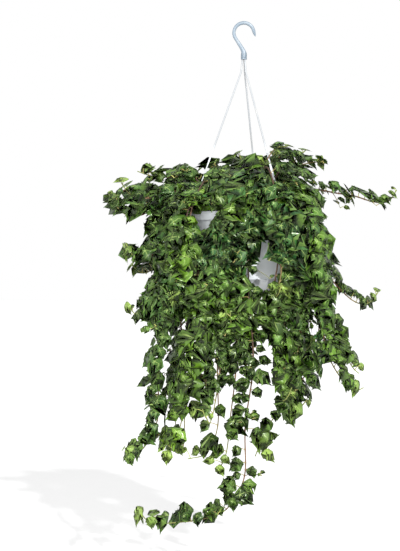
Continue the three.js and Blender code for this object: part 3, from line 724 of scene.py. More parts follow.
class IVY_OT_soil(bpy.types.Operator):
    """Fills the pot with lumpy potting soil and strews bits of bark over it"""

    bl_idname = "ivy.soil"
    bl_label = "Soil"

    def execute(self, context):
        settings = context.scene.ivy_soil
        pot = context.scene.ivy_pot
        base = pot.base_radius / MM
        edge = wall_radius(SOIL_EDGE, base, pot.lip / MM) - WALL - 0.4
        profile = [(base - WALL - 0.4, -118.95), (edge, SOIL_EDGE)]
        for k in range(1, SOIL_RINGS):
            radius = edge * (1 - k / SOIL_RINGS)
            inward = min(1, (edge - radius) / (edge - MOUND))
            profile.append((radius, SOIL_EDGE + (SOIL_TOP - SOIL_EDGE) * inward))
        soil = turned("finished_soil", profile, 72)
        rough = settings.roughness / MM
        for vertex in soil.data.vertices:
            x, y, z = vertex.co / MM
            if z + RIM_DROP > -20:
                calm = min(1, (edge - math.hypot(x, y)) / 6)
                lump = noise.fractal(Vector((x, y, 3.0)) / 7, 0.7, 2.1, 4)
                vertex.co.z += calm * rough * (lump - 0.35) * MM
        wear(soil, potting_soil(settings), bark_chip(settings))
        chips = self.chips(settings, edge - 5)
        smooth(soil, 60)
        soil = join([soil, *chips], "finished_soil")
        stand_for(soil, "soil", "soil")
        return {"FINISHED"}

    def chips(self, settings, reach):
        """One rough chip, modelled once, and its copies laid about"""
        deselect_all()
        bpy.ops.mesh.primitive_cube_add(size=1)
        template = bpy.context.object
        wear(template, bpy.data.materials["potting_soil"], bpy.data.materials["bark_chip"])
        begin_editing()
        bpy.ops.mesh.subdivide(number_cuts=1, fractal=0.6, seed=4)
        end_editing()
        draw = random.Random(7)
        chips = []
        for _ in range(settings.chips):
            chip = copy_of(template)
            size = settings.chip_size * draw.uniform(0.35, 1.3)
            radius, turn = reach * math.sqrt(draw.random()), draw.uniform(0, math.tau)
            lift = -RIM_DROP + SOIL_TOP - 4 * max(0, (radius - MOUND) / 33) + draw.uniform(-0.6, 0.7)
            tilt = Matrix.Rotation(draw.gauss(0, 0.35), 4, "X") @ Matrix.Rotation(draw.gauss(0, 0.35), 4, "Y")
            spin = Matrix.Rotation(draw.uniform(0, math.tau), 4, "Z")
            shape = Matrix.Diagonal((size, size * draw.uniform(0.25, 0.6), size * draw.uniform(0.12, 0.3), 1))
            x, y = radius * math.cos(turn), radius * math.sin(turn)
            place = Matrix.Translation((x * MM, y * MM, lift * MM))
            chip.data.transform(place @ spin @ tilt @ shape)
            tone = chip.data.attributes.new("tone", "FLOAT", "POINT")
            tone.data.foreach_set("value", [draw.random()] * len(chip.data.vertices))
            for face in chip.data.polygons:
                face.material_index = 1
            chips.append(chip)
        bpy.data.objects.remove(template)
        return chips


# The plant. Routes, rings and draws are the same as the solids' own, in millimetres over the rim.

ROOT_DEPTH = 18
SHOWN_STEMS = [
    ("left_reaching_stem", [
        (-66, 6), (-84, 2, 36), (-128, -4, 24), (-165, -8, -3), (-190, -8, -4), (-207, -6, 8), (-222, -4, 32),
    ]),
    ("left_crown_stem", [(-56, 28), (-80, 38, 52), (-120, 42, 60), (-150, 38, 62), (-176, 34, 70)]),
    ("left_upper_arch", [
        (-60, -20), (-86, -28, 28), (-122, -40, -10), (-140, -42, -52), (-156, -40, -78), (-172, -36, -80),
        (-184, -32, -66), (-193, -30, -50),
    ]),
    ("left_back_arch", [
        (-48, 46), (-76, 56, 30), (-114, 66, -14), (-138, 64, -66), (-155, 56, -94), (-170, 50, -98),
        (-186, 46, -85),
    ]),
    ("left_lower_arch", [
        (-72, -9), (-94, -11, 20), (-120, -15, -30), (-132, -17, -100), (-148, -16, -150), (-165, -14, -171),
        (-180, -12, -164), (-190, -10, -148),
    ]),
    ("left_long_stem", [
        (-52, -36), (-80, -56, 28), (-108, -74, -30), (-112, -76, -110), (-122, -68, -180), (-140, -60, -250),
        (-138, -57, -320), (-152, -54, -365), (-176, -50, -392), (-196, -48, -396),
    ]),
    ("front_left_long_stem", [
        (-36, -54), (-66, -72, 30), (-92, -88, -4), (-86, -98, -50), (-68, -102, -110), (-74, -100, -200),
        (-92, -88, -290), (-108, -78, -360), (-124, -74, -392),
    ]),
    ("front_small_leaf_stem", [
        (-14, -62), (-11, -86, 26), (-14, -110, -22), (-36, -114, -76), (-46, -110, -150), (-44, -92, -270),
        (-44, -70, -345), (-62, -58, -388), (-92, -54, -398),
    ]),
    ("front_middle_long_stem", [
        (-3, -48), (-3, -76, 40), (-4, -104, -4), (-10, -103, -120), (-14, -94, -240), (-24, -84, -330),
        (-30, -76, -385), (-44, -72, -418),
    ]),
    ("front_short_stem", [(24, -62), (30, -84, 26), (33, -103, 0), (31, -108, -34)]),
    ("front_right_short_stem", [(40, -56), (52, -78, 30), (58, -98, -16), (55, -104, -70), (57, -100, -122)]),
    ("tail_stem", [
        (6, -64), (8, -84, 28), (6, -110, -20), (4, -116, -120), (12, -102, -240), (0, -86, -340),
        (0, -77, -415), (-12, -72, -450), (-34, -68, -480), (-72, -64, -494), (-110, -60, -499),
        (-140, -56, -501), (-160, -54, -494), (-170, -52, -476),
    ]),
    ("front_right_long_stem", [
        (50, -40), (74, -58, 34), (104, -74, -20), (112, -70, -110), (124, -62, -190), (136, -56, -236),
        (158, -50, -272), (178, -47, -288), (192, -44, -284),
    ]),
    ("right_inward_stem", [
        (62, -22), (90, -33, 30), (112, -42, -40), (122, -46, -150), (108, -60, -240), (68, -72, -300),
        (36, -72, -345), (16, -70, -392),
    ]),
    ("right_lower_stem", [
        (72, -14), (96, -20, 28), (116, -26, -30), (124, -30, -110), (138, -34, -170), (156, -34, -215),
        (174, -32, -250), (186, -30, -262),
    ]),
    ("right_arch", [
        (70, 6), (92, 8, 22), (112, 9, -30), (124, 8, -80), (146, 5, -112), (176, 3, -142), (196, 1, -150),
        (210, 0, -144), (220, -1, -130),
    ]),
    ("right_reaching_stem", [
        (60, 26), (86, 24, 42), (126, 18, 38), (152, 15, 33), (182, 12, 28), (210, 10, 19), (232, 8, 17),
        (243, 6, 24), (251, 4, 38),
    ]),
    ("right_crown_stem", [(42, 40), (68, 44, 66), (100, 42, 82), (134, 36, 87)]),
    ("left_side_stem", [
        (-68, -28), (-88, -34, 34), (-124, -38, 30), (-160, -36, 22), (-186, -32, 30), (-200, -30, 48),
    ]),
    ("front_left_short_stem", [
        (-26, -60), (-34, -82, 26), (-44, -100, -14), (-50, -104, -60), (-46, -102, -104), (-40, -98, -140),
    ]),
    ("top_left_stem", [(8, 6), (4, 8, 48), (-2, 6, 82), (-9, 2, 96)]),
    ("top_middle_stem", [(30, -10), (38, -10, 54), (46, -8, 88), (53, -4, 104)]),
    ("top_right_stem", [(46, -2), (64, 2, 56), (86, 6, 88), (103, 8, 104)]),
]
RINGS = [
    {
        "name": "curtain_stem", "count": 10, "first": 24, "root": 54, "rise": (34, 58), "reach": (104, 124),
        "drop": 1, "seed": 11,
    },
    {
        "name": "skirt_stem", "count": 10, "first": 5, "root": 38, "rise": (48, 72), "reach": (112, 132),
        "drop": 0.45, "seed": 37,
    },
]
CROWN = {
    "name": "crown_stem", "count": 10, "first": 20, "root": 22, "rise": (64, 96), "reach": (40, 96),
    "seed": 71,
}
TURNED = {
    "curtain_stem_07": 12, "curtain_stem_08": 19.5, "curtain_stem_09": 7.5, "curtain_stem_10": 1.5,
    "skirt_stem_01": 6, "skirt_stem_03": 3, "skirt_stem_04": 1.5, "skirt_stem_07": 4.5, "skirt_stem_08": -4.5,
    "skirt_stem_09": 4.5, "crown_stem_10": 3,
}
DROP = {"mean": 322, "towards_left": 80, "towards_front": 26}
REACH_TOWARDS_LEFT = 8
WAIST = {"all": 6, "left": 12}
CROWN_TOWARDS_RIGHT = 0.14
FRONT_WINDOWS = [((-80, -50), (-34, 2)), ((14, 42), (-129, -42))]
WINDOW_MARGIN = 5
WORD = 0xFFFFFFFF


def seeded(seed):
    """Draws from 0 to 1, the same in every run"""
    state = seed & WORD

    def draw():
        nonlocal state
        state = (state + 0x6D2B79F5) & WORD
        t = ((state ^ (state >> 15)) * (state | 1)) & WORD
        t ^= (t + (t ^ (t >> 7)) * (t | 61)) & WORD
        return (t ^ (t >> 14)) / 4294967296

    return draw


def between(bounds, part):
    return bounds[0] + (bounds[1] - bounds[0]) * part


def share_between(value, low, high):
    """How far a value is from low, 0, to high, 1"""
    return min(1, max(0, (value - low) / (high - low)))


def polar(azimuth, radius, height):
    return (radius * math.cos(math.radians(azimuth)), radius * math.sin(math.radians(azimuth)), height)


def hanging_route(ring, index):
    draw = seeded(ring["seed"] + index)
    azimuth = ring["first"] + 360 * index / ring["count"] + 8 * (draw() - 0.5)
    side_x, side_y, _ = polar(azimuth, 1, 0)
    rise = between(ring["rise"], draw())
    reach = between(ring["reach"], draw()) - side_x * REACH_TOWARDS_LEFT
    most = DROP["mean"] - side_x * DROP["towards_left"] - side_y * DROP["towards_front"]
    drop = most * ring["drop"] * (0.8 + 0.35 * draw())
    swing = 22 * (draw() - 0.5)
    tuck = 34 * (draw() - 0.6)
    waist = WAIST["all"] + WAIST["left"] * max(0, -side_x)

    def wander(amount):
        return amount * (draw() - 0.5)

    return [
        polar(azimuth, ring["root"], 0)[:2],
        polar(azimuth, 0.64 * reach, rise),
        polar(azimuth + 0.1 * swing, 0.92 * reach, 0.42 * rise),
        polar(azimuth + 0.3 * swing + wander(6), reach + wander(8), -0.22 * drop),
        polar(azimuth + 0.5 * swing + wander(10), reach + 0.3 * tuck + wander(16) - waist, -0.45 * drop),
        polar(azimuth + 0.75 * swing + wander(12), reach + 0.6 * tuck + wander(20), -0.73 * drop),
        polar(azimuth + swing, reach + tuck, -drop),
        polar(azimuth + 1.2 * swing, reach + tuck + 12, -drop + 3),
        polar(azimuth + 1.3 * swing, reach + tuck + 20, -drop + 17),
    ]


def crown_route(index):
    draw = seeded(CROWN["seed"] + index)
    azimuth = CROWN["first"] + 360 * index / CROWN["count"] + 14 * (draw() - 0.5)
    rise = between(CROWN["rise"], draw()) * (1 + CROWN_TOWARDS_RIGHT * polar(azimuth, 1, 0)[0])
    reach = between(CROWN["reach"], (index * 0.618) % 1)
    return [
        polar(azimuth, CROWN["root"], 0)[:2],
        polar(azimuth, 0.55 * reach, 0.6 * rise),
        polar(azimuth + 4, 0.85 * reach, 0.95 * rise),
        polar(azimuth + 8, 1.15 * reach, rise),
    ]


def turned_route(name, route):
    turn = math.radians(TURNED.get(name, 0))
    cos, sin = math.cos(turn), math.sin(turn)
    return [(x * cos - y * sin, x * sin + y * cos, *height) for x, y, *height in route]


def plant_routes():
    """Every stem's name and route, in the order that seeds its leaves"""
    routes = list(SHOWN_STEMS)
    for ring in RINGS:
        routes += [(f"{ring['name']}_{k + 1:02d}", hanging_route(ring, k)) for k in range(ring["count"])]
    routes += [(f"{CROWN['name']}_{k + 1:02d}", crown_route(k)) for k in range(CROWN["count"])]
    return [(name, turned_route(name, route)) for name, route in routes]


FINE_STEPS, STEM_STEP = 12, 38


def smooth_curve(points):
    """A Catmull-Rom curve through the points, as fine points in even parameter steps"""
    p = np.array(points, dtype=float)
    p = np.vstack([2 * p[0] - p[1], p, 2 * p[-1] - p[-2]])
    t = (np.arange(FINE_STEPS) / FINE_STEPS)[:, None]
    fine = []
    for i in range(1, len(p) - 2):
        a, b, c, d = p[i - 1:i + 3]
        m0, m1 = 0.5 * (c - a), 0.5 * (d - b)
        fine.append(b + m0 * t + (-3 * b + 3 * c - 2 * m0 - m1) * t**2 + (2 * b - 2 * c + m0 + m1) * t**3)
    return np.vstack([*fine, p[-2][None]])


class Line:
    """A line of points, walked by length"""

    def __init__(self, points):
        self.points = points
        steps = np.linalg.norm(np.diff(points, axis=0), axis=1)
        self.lengths = np.concatenate([[0], np.cumsum(steps)])
        self.length = self.lengths[-1]

    def at(self, s):
        k = int(np.searchsorted(self.lengths, s, side="left"))
        k = min(max(k, 1), len(self.points) - 1)
        a, b = self.points[k - 1], self.points[k]
        part = (s - self.lengths[k - 1]) / (self.lengths[k] - self.lengths[k - 1])
        return a + (b - a) * part, (b - a) / np.linalg.norm(b - a)


def stem_lines(route):
    """The stem's smooth centre line, and the line of straight spans that its leaves are set out on"""
    x, y = route[0]
    fine = smooth_curve([(x, y, SOIL_TOP + 3), (x, y, SOIL_TOP + 11), *route[1:]])
    root = np.array((x, y, SOIL_TOP - ROOT_DEPTH), dtype=float)
    curve = Line(fine)
    steps = math.ceil(curve.length / STEM_STEP)
    stations = [root, fine[0]] + [curve.at(curve.length * k / steps)[0] for k in range(1, steps + 1)]
    return Line(np.vstack([root[None], fine])), Line(np.array(stations))


def unit(v):
    return v / math.sqrt(v @ v)


def hides_window(point, margin=WINDOW_MARGIN):
    def inside(value, bounds):
        return bounds[0] - margin < value < bounds[1] + margin

    return point[1] < -40 and any(inside(point[0], xs) and inside(point[2], zs) for xs, zs in FRONT_WINDOWS)


STRANDS_SHOW = (40, 125)
STRAND_LEAN = 0.368


def hides_strand(point, reach):
    """True in front of the part of a strand that shows over the crown"""
    x, y, z = point
    if not STRANDS_SHOW[0] < z < STRANDS_SHOW[1]:
        return False
    radius = SLOT["radius"] - STRAND_LEAN * (z - 8)
    for azimuth in STRAND_AZIMUTHS[1:]:
        strand = polar(azimuth, radius, z)
        if abs(x - strand[0]) < 4 + reach and y < strand[1] + 6:
            return True
    return False


LOWER_LEAVES, UPPER_TAIL, LOWER_TAIL = (250, 330), (385, 400), (485, 490)  # depths under the rim


def thinned(height, draw):
    """True for a leaf left out, so that the long stems show between their lower leaves"""
    low = share_between(-height, *LOWER_LEAVES) - share_between(-height, *UPPER_TAIL)
    return draw.random() < 0.28 * low + 0.35 * share_between(-height, *LOWER_TAIL)


def leaves_of(line, seed):
    """Where a stem's leaves are: on alternate sides, on rising stalks, with blades facing up and out"""
    draw = seeded(seed)
    leaves, s, index = [], 42.0, 0
    while s < line.length - 1:
        grown = s / line.length
        youth = max(0, (grown - 0.86) / 0.14)
        vigour = 1 - 0.45 * youth**1.3
        d = np.array([draw() for _ in range(10)])

        def jitter(k, amount, d=d):
            return (d[k:k + 3] - 0.5) * amount

        place, direction = line.at(s)
        out = unit(np.array((place[0] + 20 * direction[0], place[1] + 20 * direction[1], 0)))
        side = np.cross(UP, out) * (1 if index % 2 else -1)
        above = share_between(place[2], -30, 30)
        lift = max(above, 0.5 * (1 - abs(direction[2])) ** 2)
        stalk = out * (0.75 - 0.5 * lift) + UP * (0.6 + 0.5 * lift) + side * 0.7 + jitter(2, 0.6)
        stalk = unit(stalk - direction * 0.7 * (stalk @ direction))
        facing = unit(out * (0.9 - 0.4 * lift) + UP * (0.45 + 0.4 * lift) + side * 0.25 + jitter(2, 1.3))
        rib = out * (0.3 + 0.4 * lift) + UP * (-0.85 + 0.8 * lift) + side * 0.7 + jitter(5, 1.3)
        rib = unit(rib - facing * (rib @ facing))
        stalk_length = between((11, 27), d[1]) * (1 - 0.55 * grown)
        blade_length = between((18, 32), d[0]) * vigour
        base = place + stalk * stalk_length
        middle = base + rib * 0.4 * blade_length
        own_draw = random.Random(seed * 31 + index + 4)
        hidden = hides_window(middle) or hides_strand(middle, 0.5 * blade_length)
        if not hidden and not thinned(place[2], own_draw):
            base = base + stalk * own_draw.uniform(0, 9) * share_between(-place[2], *LOWER_LEAVES)
            leaves.append({
                "s": s, "youth": youth, "base": base, "rib": rib, "facing": facing, "size": blade_length,
                "tone": d[8], "droop": d[9], "seed": seed * 31 + index, "out": out, "side": side,
            })
        s += 12.5 + (9.5 - 12.5) * grown
        index += 1
    return leaves


# What sets a stem's leaves apart: their size, how light they are and how warm their green is
CHARACTER = {
    "tail_stem": (0.9, 0.0, 0.3),
    "right_reaching_stem": (0.8, 0.1, 0.6),
    "front_small_leaf_stem": (0.85, 0.1, 0.45),
    "front_short_stem": (1.2, 0.2, 0.9),
    "front_right_short_stem": (1.2, 0.25, 0.9),
    "front_left_short_stem": (1.2, 0.35, 0.75),
    "front_middle_long_stem": (1.15, 0.2, 0.8),
    "front_right_long_stem": (1.2, 0.2, 0.7),
    "right_inward_stem": (1.15, -0.1, 0.1),
    "left_long_stem": (1.1, -0.1, 0.4),
    "front_left_long_stem": (1.1, 0.05, 1.0),
    "right_lower_stem": (1.0, 0.2, 0.8),
    "left_upper_arch": (1.1, 0.1, 0.6),
}

# How a leaf's place changes it: x to the right, y to the back, heights over the rim and depths under it
PAINTED_SHADE_WITHIN = (92, 128)  # painted shade: leaves this near to the pot's axis go from dark to their own colour
# how strongly painted shade darkens leaves near the pot's axis, at the back and inside the hanging curtain
AXIS_PAINTED_SHADE, BACK_PAINTED_SHADE, INNER_PAINTED_SHADE = 0.5, 0.25, 0.7
SMALLER_FROM, LARGER_FROM = (140, 260), (300, 380)
RIGHT_SIDE, OUTERMOST = (95, 118), (118, 130)
FRONT_X, FRONT_BRIGHTENS = (-75, 110), (70, 130)
INNER_X, INNER_BEGINS, INNER_ENDS = (-78, 45), (185, 215), (300, 330)
TAIL_FROM, TAIL_END_X = -330, -90
LIGHT_CLUMP, WARMTH_CLUMP = 45, 60


def character(name, number):
    draw = random.Random(number)
    usual = (draw.uniform(0.9, 1.15), draw.uniform(-0.25, 0.15), draw.uniform(0.2, 0.95))
    return CHARACTER.get(name, usual)


def dress(leaf, name, number):
    """Gives a leaf its stem's character, with clumps of lighter and darker, cooler and warmer leaves, and
    painted shade near the pot's axis, at the back and inside the hanging curtain
    """
    size, light, warmth = character(name, number)
    draw = random.Random(leaf["seed"] + 3)
    x, y, z = leaf["base"]
    clump = noise.noise(Vector((x, y, z)) / LIGHT_CLUMP)
    other = noise.noise(Vector((x, y, z + 500)) / WARMTH_CLUMP)
    near = share_between(math.hypot(x, y), *PAINTED_SHADE_WITHIN)
    # painted shade: darker near the pot's axis and at the back
    shade = AXIS_PAINTED_SHADE * (1 - near) if z < -60 or y > 20 else 0
    if y > 0 and z < -20:
        shade = max(shade, BACK_PAINTED_SHADE)
    low = share_between(-z, *SMALLER_FROM) - share_between(-z, *LARGER_FROM)
    aside = share_between(x, *RIGHT_SIDE) if -200 < z < 0 else 0
    if name == "tail_stem" and z < TAIL_FROM:
        size *= 0.74 if x > TAIL_END_X else 1.25
    if y > 40 and -170 < z < 0:
        size *= 1.3
    if y < -45 and z > -190:
        size *= 1.12
    if y < -50 and FRONT_X[0] < x < FRONT_X[1] and z < 0:
        bright = share_between(-z, *FRONT_BRIGHTENS)
        light = 0.33 * bright - 0.24
        warmth = 0.05 + 0.75 * bright
    # inside the hanging curtain the leaves are a little smaller and darkened as painted shade
    if INNER_X[0] < x < INNER_X[1]:
        inside = share_between(-z, *INNER_BEGINS) - share_between(-z, *INNER_ENDS)
        size *= 1 - 0.12 * inside
        light -= INNER_PAINTED_SHADE * inside
    aside = max(aside, share_between(abs(y), *OUTERMOST))
    leaf["size"] *= size * (1 - 0.25 * low) * (1 - 0.3 * aside) * math.exp(draw.gauss(0, 0.2))
    # the tone is the leaf's own tone with its light, its clumps and its painted shade
    leaf["tone"] = share_between(-0.06 + 0.96 * leaf["tone"] + light + 0.6 * clump - shade, 0, 1)
    leaf["warmth"] = share_between(warmth + 0.5 * other + draw.uniform(-0.15, 0.15), 0, 1)


def bareness(place):
    """How few side shoots there are at a place: 1 where there are hardly any, below 0 where there are more"""
    x, y, z = place
    if abs(x) > 108 and -300 < z < 0:
        return 1
    if (y > -30 and -340 < z < -150) or (y > 40 and -150 < z < 10):
        return -0.9
    few = share_between(-z, 110, 200) - 0.4 * share_between(-z, 320, 370)
    return max(few, 0.55) if y < -45 else few


def side_shoot(leaf, bushiness):
    """A short young shoot out of a leaf's angle: its line, and its three or four small leaves"""
    draw = random.Random(leaf["seed"] + 11)
    at_tip = leaf["youth"] > 0 and leaf["base"][0] > -120
    if at_tip or draw.random() > bushiness * (1.2 - 1.1 * bareness(leaf["base"])):
        return [], []

    def jitter(amount):
        return np.array([draw.uniform(-amount, amount) for _ in range(3)])

    reach = draw.uniform(16, 42)
    way = leaf["out"] * draw.uniform(0.3, 0.9) + UP * draw.uniform(-0.4, 0.5)
    way = unit(way - leaf["side"] * draw.uniform(0.4, 1.1) + jitter(0.25))

    def along(t):
        return leaf["start"] + way * reach * t - UP * 0.3 * reach * t * t

    leaflets = []
    for k, t in enumerate((0.34, 0.58, 0.8, 1.0)[draw.randint(0, 1):]):
        start = along(t)
        across = unit(np.cross(UP, way)) * (1 if k % 2 else -1)
        stalk = unit(leaf["out"] * 0.5 + UP * 0.5 + across * 0.8 + jitter(0.3))
        facing = unit(leaf["facing"] + jitter(0.45))
        rib = way * 0.4 + across * 0.8 - UP * 0.5 + jitter(0.4)
        rib = unit(rib - facing * (rib @ facing))
        size = draw.uniform(10, 19) * (1.1 - 0.35 * t)
        base = start + stalk * draw.uniform(4, 10)
        middle = base + rib * 0.4 * size
        if not hides_window(middle, margin=-1) and not hides_strand(middle, 0.5 * size):
            leaflets.append({
                "start": start, "youth": 0.1 + 0.55 * t * draw.random(), "base": base, "rib": rib,
                "facing": facing, "size": size, "tone": draw.random(), "droop": draw.random(),
                "seed": leaf["seed"] * 7 + k,
            })
    return ([along(t) for t in np.linspace(0, 1, 6)], leaflets) if leaflets else ([], [])


# The blade's half outline from its tip to the notch at its stalk, across and along, in lengths of the blade.
# Every third point is the tip of a lobe or the bottom of the bay between two.

BLADES = {
    "broad": [
        (0, 0.96), (0.1, 0.8), (0.19, 0.63), (0.25, 0.47), (0.37, 0.47), (0.5, 0.44), (0.62, 0.38),
        (0.58, 0.24), (0.51, 0.1), (0.45, 0), (0.49, -0.08), (0.48, -0.17), (0.39, -0.24), (0.26, -0.255),
        (0.12, -0.2), (0, -0.06),
    ],
    "three_lobed": [
        (0, 1), (0.09, 0.84), (0.18, 0.67), (0.25, 0.5), (0.36, 0.46), (0.47, 0.4), (0.55, 0.32),
        (0.52, 0.18), (0.47, 0.05), (0.43, -0.04), (0.42, -0.11), (0.38, -0.18), (0.31, -0.23), (0.2, -0.24),
        (0.09, -0.18), (0, -0.05),
    ],
    "young": [
        (0, 1), (0.09, 0.86), (0.16, 0.71), (0.22, 0.57), (0.31, 0.51), (0.4, 0.45), (0.47, 0.38),
        (0.455, 0.25), (0.425, 0.12), (0.39, 0.0), (0.36, -0.08), (0.31, -0.14), (0.24, -0.18),
        (0.16, -0.185), (0.08, -0.14), (0, -0.05),
    ],
}
LOBE_EVERY = 3
LIGHT_LOW, LIGHT_HIGH = np.array((0.0, -0.8, 0.12)), np.array((0.0, -0.6, 0.45))  # what blades turn to
LONGEST_BLADE = 36
OUTLINE_POINTS = 30


def whole_outline(half):
    """The closed outline, from the tip by the right-hand side"""
    points = np.array(half, dtype=float)
    mirrored = points[-2:0:-1] * (-1, 1)
    return np.vstack([points, mirrored])


def blade_template(settings):
    """A flat blade of unit length, modelled once: a fan round the stalk's end, lobes and an underside"""
    deselect_all()
    lobes = OUTLINE_POINTS // LOBE_EVERY
    bpy.ops.mesh.primitive_circle_add(vertices=lobes, radius=0.5, fill_type="TRIFAN")
    blade = bpy.context.object
    begin_editing()
    bpy.ops.mesh.region_to_loop()
    bpy.ops.mesh.extrude_region_move(TRANSFORM_OT_translate={"value": (0, 0, 0)})
    bpy.ops.transform.resize(value=(2, 2, 1), center_override=(0, 0, 0))
    bpy.ops.mesh.subdivide(number_cuts=LOBE_EVERY - 1, ngon=True)
    bpy.ops.mesh.select_all(action="SELECT")
    bpy.ops.mesh.normals_make_consistent(inside=False)
    end_editing()
    mesh = blade.data
    if mesh.polygons[0].normal.z < 0:
        mesh.flip_normals()
    roles = blade_roles(mesh)
    begin_editing()
    bpy.ops.mesh.duplicate_move()
    bpy.ops.mesh.flip_normals()
    bpy.context.object.active_material_index = 1
    end_editing()
    top = len(roles)
    wear(blade, *[bpy.data.materials[m] for m in FOLIAGE])
    for face in mesh.polygons:
        face.material_index = 1 if min(face.vertices) >= top else 0
        face.use_smooth = True
    outline = whole_outline(BLADES["broad"])
    for vertex in mesh.vertices:
        kind, number = roles[vertex.index % top]
        part = {"middle": 0.0, "ring": 0.5, "outline": 1.0}[kind]
        x, y = outline[number] * part
        under = vertex.index >= top and kind != "outline"
        vertex.co = (x, y, -0.01 if under else 0.0)
    begin_editing()
    bpy.ops.mesh.remove_doubles(threshold=0.0001)
    end_editing()
    roles = roles + [role for role in roles if role[0] != "outline"]
    uv = mesh.uv_layers[0]
    uv.name = "UVMap"
    for loop in mesh.loops:
        x, y, _ = mesh.vertices[loop.vertex_index].co
        uv.data[loop.index].uv = (BLADE_UV_BASE[0] + x * BLADE_UV, BLADE_UV_BASE[1] + y * BLADE_UV)
    rim = {v for v, (kind, _) in enumerate(roles) if kind == "outline"}
    for edge in mesh.edges:
        a, b = (roles[v] for v in edge.vertices)
        steps = abs(a[1] - b[1])
        edge.use_edge_sharp = set(edge.vertices) <= rim and min(steps, OUTLINE_POINTS - steps) == 1
    for name in ("tone", "age", "warmth"):
        mesh.attributes.new(name, "FLOAT", "POINT")
    if len(mesh.vertices) != len(roles):
        raise RuntimeError(f"the blade has {len(mesh.vertices)} vertices and not {len(roles)}")
    return blade, roles


def blade_roles(mesh):
    """What each vertex of the flat blade is: the middle, or which point of the ring or the outline"""
    roles = []
    for vertex in mesh.vertices:
        x, y, _ = vertex.co
        radius = math.hypot(x, y)
        number = round(math.atan2(x, y) / math.tau * OUTLINE_POINTS) % OUTLINE_POINTS
        if radius < 0.1:
            roles.append(("middle", 0))
        else:
            roles.append(("ring" if radius < 0.6 else "outline", number))
    return roles


class BladeShapes:
    """The places of a template's vertices for each form of blade, before folding"""

    def __init__(self, roles):
        self.under = np.arange(len(roles)) >= len(roles) - 1 - OUTLINE_POINTS // LOBE_EVERY
        self.flat = {}
        parts = {"middle": 0.0, "ring": 0.5, "outline": 1.0}
        for form, half in BLADES.items():
            outline = whole_outline(half)
            self.flat[form] = np.array([outline[number] * parts[kind] for kind, number in roles])
        self.bays = np.array([kind == "ring" and number // LOBE_EVERY % 2 == 1 for kind, number in roles])

    def shaped(self, leaf, settings):
        """One leaf's own vertices, in millimetres"""
        draw = random.Random(leaf["seed"])
        size = min(LONGEST_BLADE, leaf["size"] * settings.bigger * (1 + 0.3 * draw.random() ** 3))
        pick = draw.random()
        young = min(1, 1.3 * leaf["youth"] * draw.uniform(0.6, 1.2))
        grown = self.flat["broad"] * (1 - pick) + self.flat["three_lobed"] * pick
        xy = grown * (1 - young) + self.flat["young"] * young
        xy = xy * (draw.uniform(0.86, 1.08), 1)
        x, y = xy.T
        fold = settings.fold * draw.uniform(-0.05, 0.55)
        curl = draw.uniform(0.1, 0.6)
        droop = between((0.04, 0.24), leaf["droop"])
        z = fold * np.abs(x) - curl * x**2 - droop * np.clip(y, 0, None) ** 2
        z = z + draw.uniform(-0.25, 0.25) * x * y + 0.02 * self.bays
        z = z + 0.02 * np.sin(9 * y + 6 * x + draw.uniform(0, 6)) * np.hypot(x, y)
        z = z - self.under * (settings.blade_thickness / MM / size)
        place = np.stack([x, y, z], axis=1) * size
        y, z = leaf["base"][1:]
        light = between((LIGHT_LOW, LIGHT_HIGH), share_between(z, -10, 45)) * (1 - share_between(y, -20, 50))
        facing = unit(leaf["facing"] + light)
        rib = unit(leaf["rib"] - facing * (leaf["rib"] @ facing))
        return leaf["base"] + place @ np.array([np.cross(rib, facing), rib, facing])


def stem_points(line, nodes, settings):
    """The stem as (place, radius, tone, age), with a swelling at each leaf node"""
    base, tip = settings.stem_base / MM, settings.stem_tip / MM
    stops = {round(s, 3) for s in [*np.arange(0, line.length, 7.0), line.length]}
    stops |= {round(float(min(max(n + step, 0), line.length)), 3) for n in nodes for step in (-2.2, 0, 2.2)}
    points = []
    for s in sorted(stops):
        near = float(np.exp(-((nodes - s) / 1.8) ** 2).max()) if len(nodes) else 0
        grown = s / line.length
        points.append((line.at(s)[0], (base + (tip - base) * grown) * (1 + 0.35 * near), 0.0, grown))
    return points


def shoot_points(line):
    """A side shoot, thinner and greener to its tip"""
    parts = [k / (len(line) - 1) for k in range(len(line))]
    return [(place, 0.62 - 0.24 * part, 0.0, 0.72 + 0.26 * part) for place, part in zip(line, parts)]


def stalk_points(leaf, settings):
    """A leaf's stalk, bowed up between its node and the blade"""
    start = leaf["start"]
    reach = np.linalg.norm(leaf["base"] - start)
    draw = random.Random(leaf["seed"] + 5)
    bow = UP * 0.16 * reach + np.array([draw.uniform(-0.06, 0.06) * reach for _ in range(3)])
    end = leaf["base"] - leaf["facing"] * 0.15
    points = []
    for k in range(6):
        t = k / 5
        place = start * (1 - t) ** 2 + 2 * t * (1 - t) * ((start + end) / 2 + bow) + end * t**2
        taper = 1.25 if k == 0 else 1 - 0.25 * t
        radius = settings.stalk_radius / MM * taper * (0.8 + 0.01 * leaf["size"])
        points.append((place, radius, leaf["tone"], leaf["youth"]))
    return points


STEM, STALK = 0, 1


